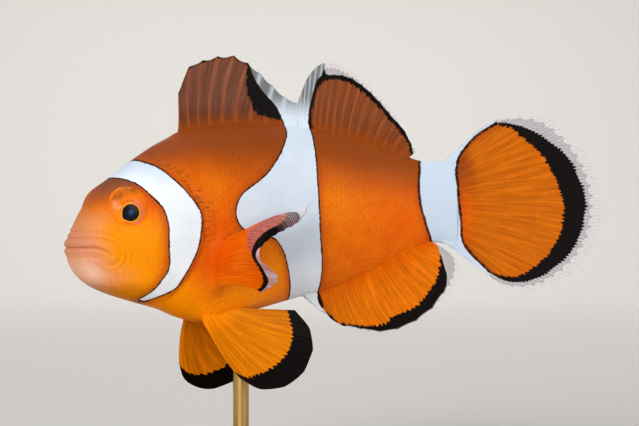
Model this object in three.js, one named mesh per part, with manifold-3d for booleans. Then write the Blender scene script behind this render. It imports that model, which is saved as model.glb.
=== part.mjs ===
// A life-size ocellaris clownfish, about 90 mm long, held over a round base by one short rod.
// Millimetres, +Z up. The head points along -X and the fish's left side faces -Y.
// The origin is the middle of the footprint, on the surface that the base stands on.
//
// The fish is first made straight: s runs back from the snout, y to its right, z up from its middle line.
// Every piece is cut and joined there. bendPoint() then lays it along the curved spine.
import * as THREE from "three";
import { mergeVertices } from "three/addons/utils/BufferGeometryUtils.js";
import Module from "manifold-3d";

const wasm = await Module();
wasm.setup();

// ---- driving dimensions -------------------------------------------------------------------------

const partingGap = 0.3; // clear gap between neighbouring pieces

const spine = {
  snout: [-42.61, -6.94], // plan position of the tip of the snout
  midHeight: 42, // height of the fish's middle line, z = 0, over the floor
  headYaw: 14, // degrees that the head is turned to the fish's left
  turn: -38, // degrees that the whole body bends from head to tail
  bendStart: 18, // s where the bend begins, just behind the gills
  bendLength: 56,
};

// Body sections from the snout to the root of the tail fin:
// [s, top edge z, bottom edge z, half width, z of the widest point]
const bodySections = [
  [0.0, -5.0, -5.0, 0.0, -5.0],
  [0.12, -3.9, -6.6, 1.6, -5.2],
  [0.6, -2.9, -8.1, 2.7, -5.4],
  [1.5, -1.3, -9.5, 3.6, -5.1],
  [3.0, 1.1, -10.8, 4.55, -4.0],
  [5.0, 3.4, -11.8, 5.3, -2.6],
  [7.5, 5.7, -12.7, 6.0, -2.0],
  [11.0, 8.2, -13.7, 6.7, -2.0],
  [15.0, 10.7, -14.8, 7.2, -2.4],
  [19.0, 12.4, -16.3, 7.5, -2.5],
  [24.0, 13.4, -17.1, 7.4, -2.1],
  [31.0, 13.9, -15.6, 6.9, -1.3],
  [38.0, 13.7, -13.9, 5.9, -0.4],
  [45.0, 12.8, -12.0, 4.7, 0.3],
  [52.0, 11.1, -9.2, 3.4, 1.0],
  [58.0, 8.8, -5.9, 2.4, 1.6],
  [62.0, 8.3, -4.8, 1.9, 1.8],
  [66.0, 8.6, -5.6, 1.3, 1.6],
];
const ringsPerSection = 2;
const ringPoints = 26;
// Shape of the sections: over 1 narrows the back and the belly, under 1 fills them out.
const ridge = { head: 0.84, headEnds: 5, trunk: 1.12, trunkStarts: 17 };

// Each eye is flatter in front than behind, and looks a little forward and up (degrees).
const eye = {
  s: 7.6,
  y: 4.4,
  z: 0.9,
  radius: 3.25,
  frontDepth: 1.5,
  backDepth: 2.3,
  forward: 12,
  upward: 10,
};

// Outlines of the partings, in s and z
const gillOpening = [
  [12.2, 15],
  [14.0, 9.5],
  [16.7, 4.2],
  [18.6, 0],
  [18.9, -4],
  [17.5, -8.4],
  [15.3, -12.4],
  [13.4, -17],
];
const gillCoverFront = [
  [17.4, 3.2],
  [12.4, 4.0],
  [11.7, 0.5],
  [10.5, -4],
  [10.9, -8],
  [12.4, -11.6],
  [17, -15],
];
const gillCoverInside = 4.2; // y where the inner face of each gill cover lies
const mouthLine = [
  [-3, -5.2],
  [1.4, -5.25],
  [3.0, -5.9],
  [4.6, -7.2],
  [5.4, -9.0],
  [6.2, -12],
  [6.6, -16],
];
const tailStalkStart = 56.5;

// Fins on the middle plane. Each row is one ray: [s of its root, s of its tip, z of its tip, backward bow]
const spinyDorsalRays = [
  [19.2, 18.8, 18.4, 0.1],
  [20.6, 20.8, 22.5, 0.2],
  [22.3, 23.4, 23.7, 0.4],
  [24.3, 26.0, 24.4, 0.6],
  [26.5, 28.8, 24.6, 0.7],
  [28.9, 31.2, 23.5, 0.7],
  [31.4, 33.4, 21.9, 0.5],
  [34.0, 35.5, 20.0, 0.3],
  [36.6, 37.6, 18.3, 0.1],
  [39.3, 39.6, 17.4, 0.0],
];
const softDorsalRays = [
  [39.8, 40.1, 17.4, 0.0],
  [40.7, 41.6, 21.6, 0.0],
  [42.1, 43.9, 23.8, 0.1],
  [44.6, 46.6, 23.9, 0.2],
  [47.6, 50.3, 21.8, 0.4],
  [50.9, 54.0, 18.2, 0.5],
  [54.0, 57.2, 13.9, 0.4],
  [57.0, 59.3, 9.9, 0.2],
];
const analRays = [
  [39.2, 43.5, -15.5, 0.0],
  [44.7, 46.5, -17.6, 0.2],
  [46.8, 50.6, -19.3, 0.4],
  [49.6, 55.2, -19.5, 0.6],
  [52.6, 59.7, -17.7, 0.7],
  [55.4, 63.5, -14.6, 0.7],
  [57.4, 65.9, -10.7, 0.6],
  [58.8, 65.8, -7.5, 0.3],
  [59.8, 63.2, -5.4, 0.1],
];
// The tail fin: [s and z of the root, s and z of the tip]
const tailRays = [
  [62.8, 7.6, 68.6, 12.8],
  [64.0, 7.1, 73.0, 15.4],
  [64.5, 6.0, 79.5, 15.5],
  [64.7, 4.6, 84.7, 11.8],
  [64.8, 3.1, 87.9, 6.6],
  [64.8, 1.6, 88.9, 1.0],
  [64.8, 0.1, 87.9, -4.4],
  [64.7, -1.4, 84.6, -8.9],
  [64.5, -2.9, 79.6, -12.0],
  [64.0, -4.0, 74.0, -12.0],
  [62.8, -4.2, 69.6, -8.9],
];
// Paired fins of the left side: root, middle and tip of each ray, as s, y, z
const pectoralRays = [
  [21.9, -6.4, -5.0, 28.2, -10.0, -1.5, 38.4, -9.0, 1.4],
  [21.8, -6.4, -5.4, 29.8, -11.5, -0.5, 34.8, -12.0, -1.2],
  [21.7, -6.4, -6.0, 27.2, -12.5, -1.4, 30.3, -14.0, -2.6],
  [21.7, -6.3, -6.6, 24.7, -13.0, -2.6, 26.4, -15.5, -3.8],
  [21.7, -6.2, -7.2, 23.3, -13.0, -4.1, 23.5, -16.5, -5.5],
  [21.8, -6.0, -8.0, 22.8, -13.0, -6.0, 23.5, -17.0, -7.3],
  [22.0, -5.8, -8.9, 23.3, -12.3, -8.0, 26.7, -16.5, -9.0],
  [22.3, -5.4, -9.9, 24.2, -10.8, -9.8, 28.1, -15.0, -10.5],
  [22.6, -5.0, -10.8, 24.8, -8.8, -11.0, 27.4, -11.5, -12.1],
];
const leftPelvicRays = [
  [21.6, -2.4, -15.4, 22.4, -6.2, -20.8, 24.6, -9.0, -25.1],
  [21.9, -2.3, -15.2, 24.0, -6.2, -21.4, 28.0, -9.0, -26.8],
  [22.3, -2.2, -15.0, 26.4, -5.9, -21.6, 32.2, -8.5, -27.0],
  [22.8, -2.2, -14.9, 28.9, -5.4, -20.9, 36.4, -7.5, -25.8],
  [23.4, -2.2, -14.8, 31.0, -4.7, -19.6, 39.4, -6.2, -23.2],
  [24.0, -2.2, -14.7, 32.1, -4.0, -18.0, 40.6, -5.0, -20.4],
  [24.6, -2.2, -14.6, 32.2, -3.5, -16.4, 40.0, -4.2, -17.6],
  [25.2, -2.2, -14.6, 31.6, -3.2, -14.9, 37.9, -3.6, -15.2],
];
const rightPelvicRays = [
  [21.4, 2.4, -15.4, 22.4, 5.8, -20.4, 23.6, 8.0, -23.8],
  [21.7, 2.3, -15.2, 23.0, 6.2, -21.8, 25.0, 8.8, -26.5],
  [22.1, 2.2, -15.0, 24.4, 6.2, -22.4, 28.3, 8.7, -28.1],
  [22.6, 2.2, -14.9, 26.7, 5.7, -21.8, 32.0, 7.7, -27.2],
  [23.2, 2.2, -14.8, 28.8, 5.0, -20.6, 35.2, 6.6, -24.8],
  [23.8, 2.2, -14.7, 30.4, 4.2, -18.9, 37.6, 5.4, -21.8],
  [24.4, 2.2, -14.6, 31.1, 3.6, -17.3, 38.6, 4.4, -18.8],
  [25.0, 2.2, -14.6, 31.2, 3.2, -16.1, 38.0, 3.7, -16.4],
];
const rootDepth = 1.6; // how far a median fin starts inside the body before it is trimmed

const stand = {
  baseRadius: 21,
  baseHeight: 6,
  baseBevel: 0.8,
  rodRadius: 1.25,
  rodAt: 30, // s of the rod, under the weight of the fish
  rodInBase: 4,
  rodInBelly: 4,
  collarRadius: 3,
  collarHeight: 2,
};

// ---- shared maths -------------------------------------------------------------------------------

// Catmull-Rom through rows of numbers. t runs from 0 at the first row to 1 at the last.
function alongRows(rows, t) {
  const at = Math.min(Math.max(t, 0), 1) * (rows.length - 1);
  const i = Math.min(Math.floor(at), rows.length - 2);
  const f = at - i;
  const before = rows[Math.max(i - 1, 0)];
  const after = rows[Math.min(i + 2, rows.length - 1)];
  return rows[i].map((a, k) => {
    const b = rows[i + 1][k];
    const leaving = (b - before[k]) / 2;
    const arriving = (after[k] - a) / 2;
    const bend = 3 * (b - a) - 2 * leaving - arriving;
    return a + f * (leaving + f * (bend + f * (leaving + arriving - 2 * (b - a))));
  });
}

// The body section at distance s, found by halving.
function sectionAt(s) {
  let low = 0;
  let high = 1;
  for (let i = 0; i < 24; i++) {
    const middle = (low + high) / 2;
    if (alongRows(bodySections, middle)[0] < s) low = middle;
    else high = middle;
  }
  return alongRows(bodySections, low);
}

// Heading of the spine at s, in radians. It eases from the head's heading to the tail's.
function heading(s) {
  const t = THREE.MathUtils.clamp((s - spine.bendStart) / spine.bendLength, 0, 1);
  return THREE.MathUtils.degToRad(spine.headYaw + spine.turn * t * t * (3 - 2 * t));
}

const spineStep = 0.25;
const spineFrom = -10;
const spinePoints = (() => {
  const points = [];
  let x = 0;
  let y = 0;
  for (let s = spineFrom; s < 110; s += spineStep) {
    points.push([x, y]);
    x += Math.cos(heading(s + spineStep / 2)) * spineStep;
    y += Math.sin(heading(s + spineStep / 2)) * spineStep;
  }
  return points;
})();
const snoutIndex = -spineFrom / spineStep;

// Straight fish to finished pose.
function bendPoint(s, y, z) {
  const at = (s - spineFrom) / spineStep;
  const i = Math.floor(at);
  const f = at - i;
  const [x0, y0] = spinePoints[i];
  const [x1, y1] = spinePoints[i + 1];
  const [xs, ys] = spinePoints[snoutIndex];
  const turned = heading(s);
  return [
    spine.snout[0] + x0 + f * (x1 - x0) - xs - Math.sin(turned) * y,
    spine.snout[1] + y0 + f * (y1 - y0) - ys + Math.cos(turned) * y,
    spine.midHeight + z,
  ];
}

// ---- solids -------------------------------------------------------------------------------------

function geometryFrom(points, faces) {
  const geometry = new THREE.BufferGeometry();
  geometry.setAttribute("position", new THREE.Float32BufferAttribute(points.flat(), 3));
  geometry.setIndex(faces.flat());
  return geometry;
}

function solidFrom(geometry) {
  const bare = geometry.clone();
  bare.deleteAttribute("normal");
  bare.deleteAttribute("uv");
  const merged = mergeVertices(bare, 1e-4);
  return new wasm.Manifold(
    new wasm.Mesh({
      numProp: 3,
      vertProperties: new Float32Array(merged.attributes.position.array),
      triVerts: new Uint32Array(merged.index.array),
    }),
  );
}

function ridgePower(s) {
  const t = THREE.MathUtils.clamp((s - ridge.headEnds) / (ridge.trunkStarts - ridge.headEnds), 0, 1);
  return ridge.head + t * (ridge.trunk - ridge.head);
}

// The whole body in the straight fish, all round larger by grow.
function bodySolid(grow = 0) {
  const points = [];
  const faces = [];
  const rings = (bodySections.length - 1) * ringsPerSection;
  points.push([-grow, 0, bodySections[0][4]]);
  for (let i = 1; i <= rings; i++) {
    const [s, top, bottom, half, widest] = alongRows(bodySections, i / rings);
    for (let j = 0; j < ringPoints; j++) {
      const angle = (j / ringPoints) * 2 * Math.PI;
      const side = Math.cos(angle);
      const up = Math.sin(angle);
      const reach = up > 0 ? top + grow - widest : widest - (bottom - grow);
      points.push([
        s + (i === rings ? grow : 0),
        Math.sign(side) * Math.abs(side) ** ridgePower(s) * (half + grow),
        widest + up * reach,
      ]);
    }
  }
  const ring = (i, j) => 1 + (i - 1) * ringPoints + (j % ringPoints);
  const last = points.length;
  points.push([bodySections.at(-1)[0] + grow, 0, bodySections.at(-1)[4]]);
  for (let j = 0; j < ringPoints; j++) {
    faces.push([0, ring(1, j + 1), ring(1, j)]);
    for (let i = 1; i < rings; i++) {
      faces.push([ring(i, j), ring(i, j + 1), ring(i + 1, j)]);
      faces.push([ring(i, j + 1), ring(i + 1, j + 1), ring(i + 1, j)]);
    }
    faces.push([last, ring(rings, j), ring(rings, j + 1)]);
  }
  return solidFrom(geometryFrom(points, faces));
}

// A closed outline in s and z, extruded along y from y0 to y1.
function prism(outline, y0, y1) {
  const shape = new THREE.Shape(outline.map(([s, z]) => new THREE.Vector2(s, z)));
  const geometry = new THREE.ExtrudeGeometry(shape, { depth: y1 - y0, bevelEnabled: false });
  return solidFrom(geometry.rotateX(Math.PI / 2).translate(0, y1, 0));
}

function smoothLine(points, count) {
  const curve = new THREE.SplineCurve(points.map(([s, z]) => new THREE.Vector2(s, z)));
  return curve.getPoints(count).map((p) => [p.x, p.y]);
}

// A thin fin through rays of root, middle and tip. It is thick at its root and thin at its rim.
// notch is how much of the length the rim falls back between two rays.
function finSolid(rays, { perRay = 2, along, rootThickness, rimThickness = 0.55, notch = 0 }) {
  const across = (rays.length - 1) * perRay;
  const middle = [];
  for (let i = 0; i <= across; i++) {
    const ray = alongRows(rays, i / across);
    const reach = 1 - notch * Math.sin((Math.PI * (i % perRay)) / perRay);
    for (let j = 0; j <= along; j++) {
      const t = (j / along) * reach;
      const point = [0, 1, 2].map((k) => {
        const control = 2 * ray[3 + k] - (ray[k] + ray[6 + k]) / 2;
        return (1 - t) ** 2 * ray[k] + 2 * t * (1 - t) * control + t * t * ray[6 + k];
      });
      middle.push(new THREE.Vector3(...point));
    }
  }
  const at = (i, j) => middle[i * (along + 1) + j];
  const points = [];
  for (const side of [1, -1]) {
    for (let i = 0; i <= across; i++) {
      for (let j = 0; j <= along; j++) {
        const overI = at(Math.min(i + 1, across), j).clone().sub(at(Math.max(i - 1, 0), j));
        const overJ = at(i, Math.min(j + 1, along)).clone().sub(at(i, Math.max(j - 1, 0)));
        const t = j / along;
        const half = (rootThickness + (rimThickness - rootThickness) * Math.sqrt(t)) / 2;
        const out = overI.cross(overJ).normalize().multiplyScalar(side * half);
        points.push(at(i, j).clone().add(out).toArray());
      }
    }
  }
  const faces = [];
  const index = (side, i, j) => side * (across + 1) * (along + 1) + i * (along + 1) + j;
  const quad = (a, b, c, d) => faces.push([a, b, c], [a, c, d]);
  for (let i = 0; i < across; i++) {
    for (let j = 0; j < along; j++) {
      quad(index(0, i, j), index(0, i + 1, j), index(0, i + 1, j + 1), index(0, i, j + 1));
      quad(index(1, i, j), index(1, i, j + 1), index(1, i + 1, j + 1), index(1, i + 1, j));
    }
    quad(index(0, i, along), index(0, i + 1, along), index(1, i + 1, along), index(1, i, along));
    quad(index(0, i + 1, 0), index(0, i, 0), index(1, i, 0), index(1, i + 1, 0));
  }
  for (let j = 0; j < along; j++) {
    quad(index(0, 0, j), index(0, 0, j + 1), index(1, 0, j + 1), index(1, 0, j));
    quad(
      index(0, across, j + 1),
      index(0, across, j),
      index(1, across, j),
      index(1, across, j + 1),
    );
  }
  return solidFrom(geometryFrom(points, faces));
}

// Full rays of a fin on the middle plane, from its short rows. edge is 1 for the back, 2 for the belly.
function medianRays(rows, edge, wave) {
  return rows.map(([rootS, tipS, tipZ, bow], i) => {
    const inward = edge === 1 ? -rootDepth : rootDepth;
    const rootZ = sectionAt(rootS)[edge] + inward;
    const sway = wave * Math.sin((i / (rows.length - 1)) * 2 * Math.PI);
    const middle = [(rootS + tipS) / 2 - bow, sway / 2, (rootZ + tipZ) / 2];
    return [rootS, 0, rootZ, ...middle, tipS, sway, tipZ];
  });
}

function tailFinRays(rows, wave) {
  return rows.map(([rootS, rootZ, tipS, tipZ], i) => {
    const sway = wave * Math.sin((i / (rows.length - 1)) * 2 * Math.PI);
    return [rootS, 0, rootZ, (rootS + tipS) / 2, sway / 3, (rootZ + tipZ) / 2, tipS, sway, tipZ];
  });
}

const mirrored = (rays) => rays.map((ray) => ray.map((v, k) => (k % 3 === 1 ? -v : v))).reverse();

// ---- the stand ----------------------------------------------------------------------------------

function standBaseGeometry() {
  const { baseRadius, baseHeight, baseBevel, rodRadius, rodInBase } = stand;
  const hole = rodRadius + partingGap;
  const profile = [
    [0, 0],
    [baseRadius - baseBevel, 0],
    [baseRadius, baseBevel],
    [baseRadius, baseHeight - baseBevel],
    [baseRadius - baseBevel, baseHeight],
    [hole, baseHeight],
    [hole, baseHeight - rodInBase - partingGap],
    [0, baseHeight - rodInBase - partingGap],
  ];
  return latheAround(profile, 40);
}

function standCollarGeometry() {
  const { baseHeight, rodRadius, collarRadius, collarHeight } = stand;
  const foot = baseHeight + partingGap;
  const bore = rodRadius + partingGap;
  const profile = [
    [bore, foot],
    [collarRadius, foot],
    [collarRadius, foot + collarHeight * 0.6],
    [collarRadius - 0.8, foot + collarHeight],
    [bore, foot + collarHeight],
    [bore, foot],
  ];
  return latheAround(profile, 20);
}

function standRodGeometry() {
  const foot = stand.baseHeight - stand.rodInBase;
  const top = spine.midHeight + sectionAt(stand.rodAt)[2] + stand.rodInBelly;
  const rod = new THREE.CylinderGeometry(stand.rodRadius, stand.rodRadius, top - foot, 20);
  return rod.rotateX(Math.PI / 2).translate(0, 0, (top + foot) / 2);
}

// Lathe geometries turn about Y, so this stands the turned shape up along Z.
function latheAround(profile, segments) {
  const points = profile.map(([r, z]) => new THREE.Vector2(r, z));
  return new THREE.LatheGeometry(points, segments).rotateX(Math.PI / 2);
}

// ---- materials ----------------------------------------------------------------------------------

const finish = (color, roughness = 0.5, metalness = 0) =>
  new THREE.MeshStandardMaterial({ color, roughness, metalness });
const orangeSkin = finish(0xe8730c, 0.45);
const finOrange = finish(0xe88a10, 0.5);
const eyeBlack = finish(0x0c0d12, 0.12);
const baseWood = finish(0x4a2f1d, 0.55);
const rodBrass = finish(0xb9975a, 0.3, 1);

// ---- assembly -----------------------------------------------------------------------------------

const group = new THREE.Group();

function addMesh(name, geometry, material) {
  const mesh = new THREE.Mesh(geometry, material);
  mesh.name = name;
  group.add(mesh);
  return mesh;
}

// Bends a solid of the straight fish into the pose and adds it.
function addFlesh(name, solid, material) {
  const made = solid.getMesh();
  const positions = [];
  for (let i = 0; i < made.numVert; i++) {
    positions.push(bendPoint(...made.vertProperties.slice(i * made.numProp, i * made.numProp + 3)));
  }
  addMesh(name, geometryFrom(positions, [...made.triVerts]), material);
}

const wide = 30; // reaches past the fish on every side
const body = bodySolid();
const grownBody = bodySolid(partingGap);

// Head and trunk part along the gill opening
const gillLine = smoothLine(gillOpening, 16);
const headSide = [[-wide, 15], ...gillLine, [-wide, -17]];
const clearHeadSide = headSide.map(([s, z]) => [s + partingGap, z]);
let head = body.intersect(prism(headSide, -wide, wide));
const behindHead = body.subtract(prism(clearHeadSide, -wide, wide));

// Lower jaw
const jawLine = smoothLine(mouthLine, 10);
const jawSide = [...jawLine, [-3, -16]];
const clearJawSide = jawSide.map(([s, z]) => [s + partingGap, z + partingGap]);
const lowerJaw = head.intersect(prism(jawSide, -wide, wide));
head = head.subtract(prism(clearJawSide, -wide, wide));

// Gill covers
const coverFront = smoothLine(gillCoverFront, 10);
const coverSide = [...coverFront, [wide, -15], [wide, 3.2]];
const clearCoverSide = coverSide.map(([s, z]) => [s - partingGap, z + partingGap]);
for (const [name, side] of [["left", -1], ["right", 1]]) {
  const span = (inner) => (side < 0 ? [-wide, -inner] : [inner, wide]);
  addFlesh(`gill_cover_${name}`, head.intersect(prism(coverSide, ...span(gillCoverInside))), orangeSkin);
  head = head.subtract(prism(clearCoverSide, ...span(gillCoverInside - partingGap)));
}

// Eyes in their sockets
for (const [name, side] of [["left", -1], ["right", 1]]) {
  const ball = (grow) => {
    const shape = new THREE.SphereGeometry(1, 16, 12);
    const points = shape.attributes.position;
    for (let i = 0; i < points.count; i++) {
      const depth = side * points.getY(i) > 0 ? eye.frontDepth : eye.backDepth;
      points.setX(i, points.getX(i) * (eye.radius + grow));
      points.setY(i, points.getY(i) * (depth + grow));
      points.setZ(i, points.getZ(i) * (eye.radius + grow));
    }
    return solidFrom(
      shape
        .rotateX(side * THREE.MathUtils.degToRad(eye.upward))
        .rotateZ(side * THREE.MathUtils.degToRad(eye.forward))
        .translate(eye.s, side * eye.y, eye.z),
    );
  };
  addFlesh(`eye_${name}`, ball(0), eyeBlack);
  head = head.subtract(ball(partingGap));
}
addFlesh("head", head, orangeSkin);
addFlesh("lower_jaw", lowerJaw, orangeSkin);

// Trunk, with the socket of the rod, and tail stalk
const box = (s0, s1) => prism([[s0, wide], [s0, -wide], [s1, -wide], [s1, wide]], -wide, wide);
const socketTop = sectionAt(stand.rodAt)[2] + stand.rodInBelly + partingGap;
const socket = solidFrom(
  new THREE.CylinderGeometry(stand.rodRadius + partingGap, stand.rodRadius + partingGap, wide, 20)
    .rotateX(Math.PI / 2)
    .translate(stand.rodAt, 0, socketTop - wide / 2),
);
addFlesh("trunk", behindHead.intersect(box(0, tailStalkStart)).subtract(socket), orangeSkin);
addFlesh("tail_stalk", behindHead.intersect(box(tailStalkStart + partingGap, 80)), orangeSkin);

// Fins, trimmed to stand clear of the body
const fins = {
  dorsal_fin_spiny: [
    medianRays(spinyDorsalRays, 1, 0.25),
    { perRay: 3, along: 5, rootThickness: 1.8, notch: 0.07 },
  ],
  dorsal_fin_soft: [medianRays(softDorsalRays, 1, 0.35), { along: 5, rootThickness: 1.6 }],
  anal_fin: [medianRays(analRays, 2, 0.35), { along: 5, rootThickness: 1.8 }],
  tail_fin: [tailFinRays(tailRays, 0.6), { along: 6, rootThickness: 1.6 }],
  pectoral_fin_left: [pectoralRays, { along: 6, rootThickness: 1.6 }],
  pectoral_fin_right: [mirrored(pectoralRays), { along: 6, rootThickness: 1.6 }],
  pelvic_fin_left: [leftPelvicRays, { along: 5, rootThickness: 1.5 }],
  pelvic_fin_right: [rightPelvicRays, { along: 5, rootThickness: 1.5 }],
};
for (const [name, [rays, size]] of Object.entries(fins)) {
  let solid = finSolid(rays, size);
  if (solid.volume() < 0) solid = finSolid([...rays].reverse(), size);
  const trimmed = solid.subtract(grownBody).decompose();
  trimmed.sort((a, b) => b.volume() - a.volume());
  addFlesh(name, trimmed[0], finOrange);
}

// Stand
const [rodX, rodY] = bendPoint(stand.rodAt, 0, 0);
addMesh("stand_base", standBaseGeometry(), baseWood).position.set(rodX, rodY, 0);
addMesh("stand_collar", standCollarGeometry(), rodBrass).position.set(rodX, rodY, 0);
addMesh("stand_rod", standRodGeometry(), rodBrass).position.set(rodX, rodY, 0);

export default group;
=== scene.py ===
import math

import bpy
import numpy as np
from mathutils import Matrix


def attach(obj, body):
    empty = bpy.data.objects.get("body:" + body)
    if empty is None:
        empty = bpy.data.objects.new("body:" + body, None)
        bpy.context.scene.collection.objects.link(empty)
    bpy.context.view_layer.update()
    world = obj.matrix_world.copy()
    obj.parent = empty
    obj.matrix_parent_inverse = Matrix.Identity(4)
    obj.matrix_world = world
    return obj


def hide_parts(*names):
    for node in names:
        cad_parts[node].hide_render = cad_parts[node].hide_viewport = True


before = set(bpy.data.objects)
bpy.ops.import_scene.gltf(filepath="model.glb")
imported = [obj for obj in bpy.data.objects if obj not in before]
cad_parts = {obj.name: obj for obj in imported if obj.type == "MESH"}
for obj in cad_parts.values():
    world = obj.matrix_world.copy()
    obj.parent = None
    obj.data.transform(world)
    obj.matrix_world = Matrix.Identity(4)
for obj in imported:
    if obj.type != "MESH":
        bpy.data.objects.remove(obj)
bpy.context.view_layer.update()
bpy.ops.object.select_all(action="DESELECT")
print("frame loaded:", len(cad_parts), "nodes")

# All lengths below are millimetres of the real fish. Blender gets metres at the last step.
# The fish is shaped straight: s runs back from the snout, y to its right, z up from its middle line.
# bendToPose() then lays every point along the curved spine.
mm = 0.001

pose = {
    "snout": (-42.61, -6.94),  # plan position of the tip of the snout
    "midHeight": 42.0,
    "headYaw": 14.0,
    "turn": -38.0,  # how far the body turns from head to tail, between the next two
    "bendStart": 18.0,
    "bendLength": 56.0,
    "step": 0.25,
}
bodyLength = 66  # from the snout to the root of the tail fin


def headingAt(s):
    t = np.clip((s - pose["bendStart"]) / pose["bendLength"], 0, 1)
    return np.radians(pose["headYaw"] + pose["turn"] * t * t * (3 - 2 * t))


spineS = np.arange(-10, 110, pose["step"])
spineTurn = headingAt(spineS[:-1] + pose["step"] / 2)
spineX = np.concatenate([[0], np.cumsum(np.cos(spineTurn) * pose["step"])])
spineY = np.concatenate([[0], np.cumsum(np.sin(spineTurn) * pose["step"])])
spineX -= np.interp(0, spineS, spineX)
spineY -= np.interp(0, spineS, spineY)


def bendToPose(fish):
    s, y, z = fish.T
    turned = headingAt(s)
    east = pose["snout"][0] + np.interp(s, spineS, spineX) - np.sin(turned) * y
    north = pose["snout"][1] + np.interp(s, spineS, spineY) + np.cos(turned) * y
    return np.stack([east, north, z + pose["midHeight"]], axis=1) * mm


# small maths


def smoothStep(low, high, x):
    t = np.clip((x - low) / (high - low), 0, 1)
    return t * t * (3 - 2 * t)


def hump(distance, width):
    return np.exp(-((distance / width) ** 2))


def spot(s, z, middle, wide):
    # a soft round patch: 1 at its middle, fading over its width along s and z
    return hump(np.hypot((s - middle[0]) / wide[0], (z - middle[1]) / wide[1]), 1.0)


def alongRows(rows, t):
    # a smooth curve through rows of numbers, t from 0 to 1
    rows = np.asarray(rows, float)
    at = np.clip(t, 0, 1) * (len(rows) - 1)
    i = np.minimum(at.astype(int), len(rows) - 2)
    f = (at - i)[:, None]
    a, b = rows[i], rows[i + 1]
    leaving = (b - rows[np.maximum(i - 1, 0)]) / 2
    arriving = (rows[np.minimum(i + 2, len(rows) - 1)] - a) / 2
    bend = 3 * (b - a) - 2 * leaving - arriving
    return a + f * (leaving + f * (bend + f * (leaving + arriving - 2 * (b - a))))


def roundedLine(points, perSpan=5):
    return alongRows(points, np.linspace(0, 1, (len(points) - 1) * perSpan + 1))


def distanceToLine(line, s, z):
    nearest = np.full(s.shape, 1e9)
    for (s0, z0), (s1, z1) in zip(line[:-1], line[1:]):
        ds, dz = s1 - s0, z1 - z0
        t = np.clip(((s - s0) * ds + (z - z0) * dz) / (ds * ds + dz * dz), 0, 1)
        nearest = np.minimum(nearest, np.hypot(s - s0 - t * ds, z - z0 - t * dz))
    return nearest


def depthInside(outline, s, z):
    # distance to a closed outline, positive inside it
    closed = [*outline, outline[0]]
    inside = np.zeros(s.shape, bool)
    for (s0, z0), (s1, z1) in zip(closed[:-1], closed[1:]):
        if z0 != z1:
            crosses = (z0 > z) != (z1 > z)
            inside ^= crosses & (s < s0 + (z - z0) / (z1 - z0) * (s1 - s0))
    return np.where(inside, 1, -1) * distanceToLine(closed, s, z)


# body sections: s, top edge, bottom edge, half width, height of the widest point
bodySections = [
    (0.0, -5.0, -5.0, 0.0, -5.0), (0.12, -3.9, -6.6, 1.6, -5.2), (0.6, -2.9, -8.1, 2.7, -5.4),
    (1.5, -1.3, -9.5, 3.6, -5.1), (3.0, 1.1, -10.8, 4.55, -4.0), (5.0, 3.4, -11.8, 5.3, -2.6),
    (7.5, 5.7, -12.7, 6.0, -2.0), (11.0, 8.2, -13.7, 6.7, -2.0), (15.0, 10.7, -14.8, 7.2, -2.4),
    (19.0, 12.4, -16.3, 7.5, -2.5), (24.0, 13.4, -17.1, 7.4, -2.1), (31.0, 13.9, -15.6, 6.9, -1.3),
    (38.0, 13.7, -13.9, 5.9, -0.4), (45.0, 12.8, -12.0, 4.7, 0.3), (52.0, 11.1, -9.2, 3.4, 1.0),
    (58.0, 8.8, -5.9, 2.4, 1.6), (62.0, 8.3, -4.8, 1.9, 1.8), (66.0, 8.6, -5.6, 1.3, 1.6),
]
sectionTable = alongRows(bodySections, np.linspace(0, 1, 2001))


def sectionAt(s, column):
    return np.interp(s, sectionTable[:, 0], sectionTable[:, column])


# markings: outlines in s and z, the same on both sides of the fish
headBand = roundedLine([
    (5.2, 11), (6.0, 7.5), (6.9, 5.7), (7.9, 5.1), (9.2, 4.4), (11.0, 2.6), (12.5, 0.6), (13.2, -1.8),
    (13.5, -5.5), (13.8, -8.3), (13.1, -10.1), (12.2, -11.7), (11.0, -12.9), (11.8, -13.3), (13.1, -12.7),
    (15.1, -11.6), (16.1, -10.0), (17.2, -7.4), (18.2, -4.1), (18.4, -0.3), (16.8, 2.5), (14.6, 5.0),
    (12.7, 6.8), (11.3, 7.6), (10.0, 8.6), (9.0, 11),
])
middleBand = roundedLine([
    (31.2, 24.6), (31.4, 23.3), (32.3, 21.1), (33.9, 18.9), (35.8, 17.1), (37.0, 14.8), (37.2, 12.6),
    (35.4, 9.8), (32.6, 6.7), (29.8, 4.8), (26.3, 2.6), (25.1, 0.2), (25.9, -1.9), (28.3, -2.9),
    (31.2, -3.3), (33.3, -4.2), (35.0, -6.2), (36.3, -8.9), (37.5, -12.0), (38.0, -13.6), (39.3, -15.0),
    (41.0, -15.4), (42.6, -16.4), (44.4, -16.9), (43.9, -15.5), (43.2, -14.0), (42.8, -12.4), (42.8, -10.6),
    (42.6, -8.2), (41.9, -4.2), (41.5, 0.5), (41.4, 5.2), (41.5, 9.9), (41.5, 13.6), (41.7, 16.3),
    (42.5, 19.4), (43.1, 21.0), (44.2, 22.6), (44.2, 25.5), (37.0, 26.5),
])
tailBand = roundedLine([
    (60.0, 9.5), (59.8, 7.0), (59.7, 4.2), (59.9, 1.6), (60.5, -0.6), (61.3, -3.2), (61.9, -5.0),
    (62.4, -7.5), (66.4, -8.6), (69.2, -9.8), (71.6, -11.2), (70.6, -9.4), (67.8, -6.6), (66.4, -4.3),
    (66.2, -1.9), (65.9, 1.3), (65.6, 4.5), (65.4, 6.9), (66.0, 9.2), (67.6, 11.4), (69.6, 13.1),
    (72.4, 15.0), (69.0, 14.5), (65.5, 12.5), (62.0, 10.6),
])


def whiteDepth(s, z, *bands):
    depths = [depthInside(band, s, z) for band in bands or (headBand, middleBand, tailBand)]
    return np.clip(np.max(depths, axis=0), -9, 9)


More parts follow.
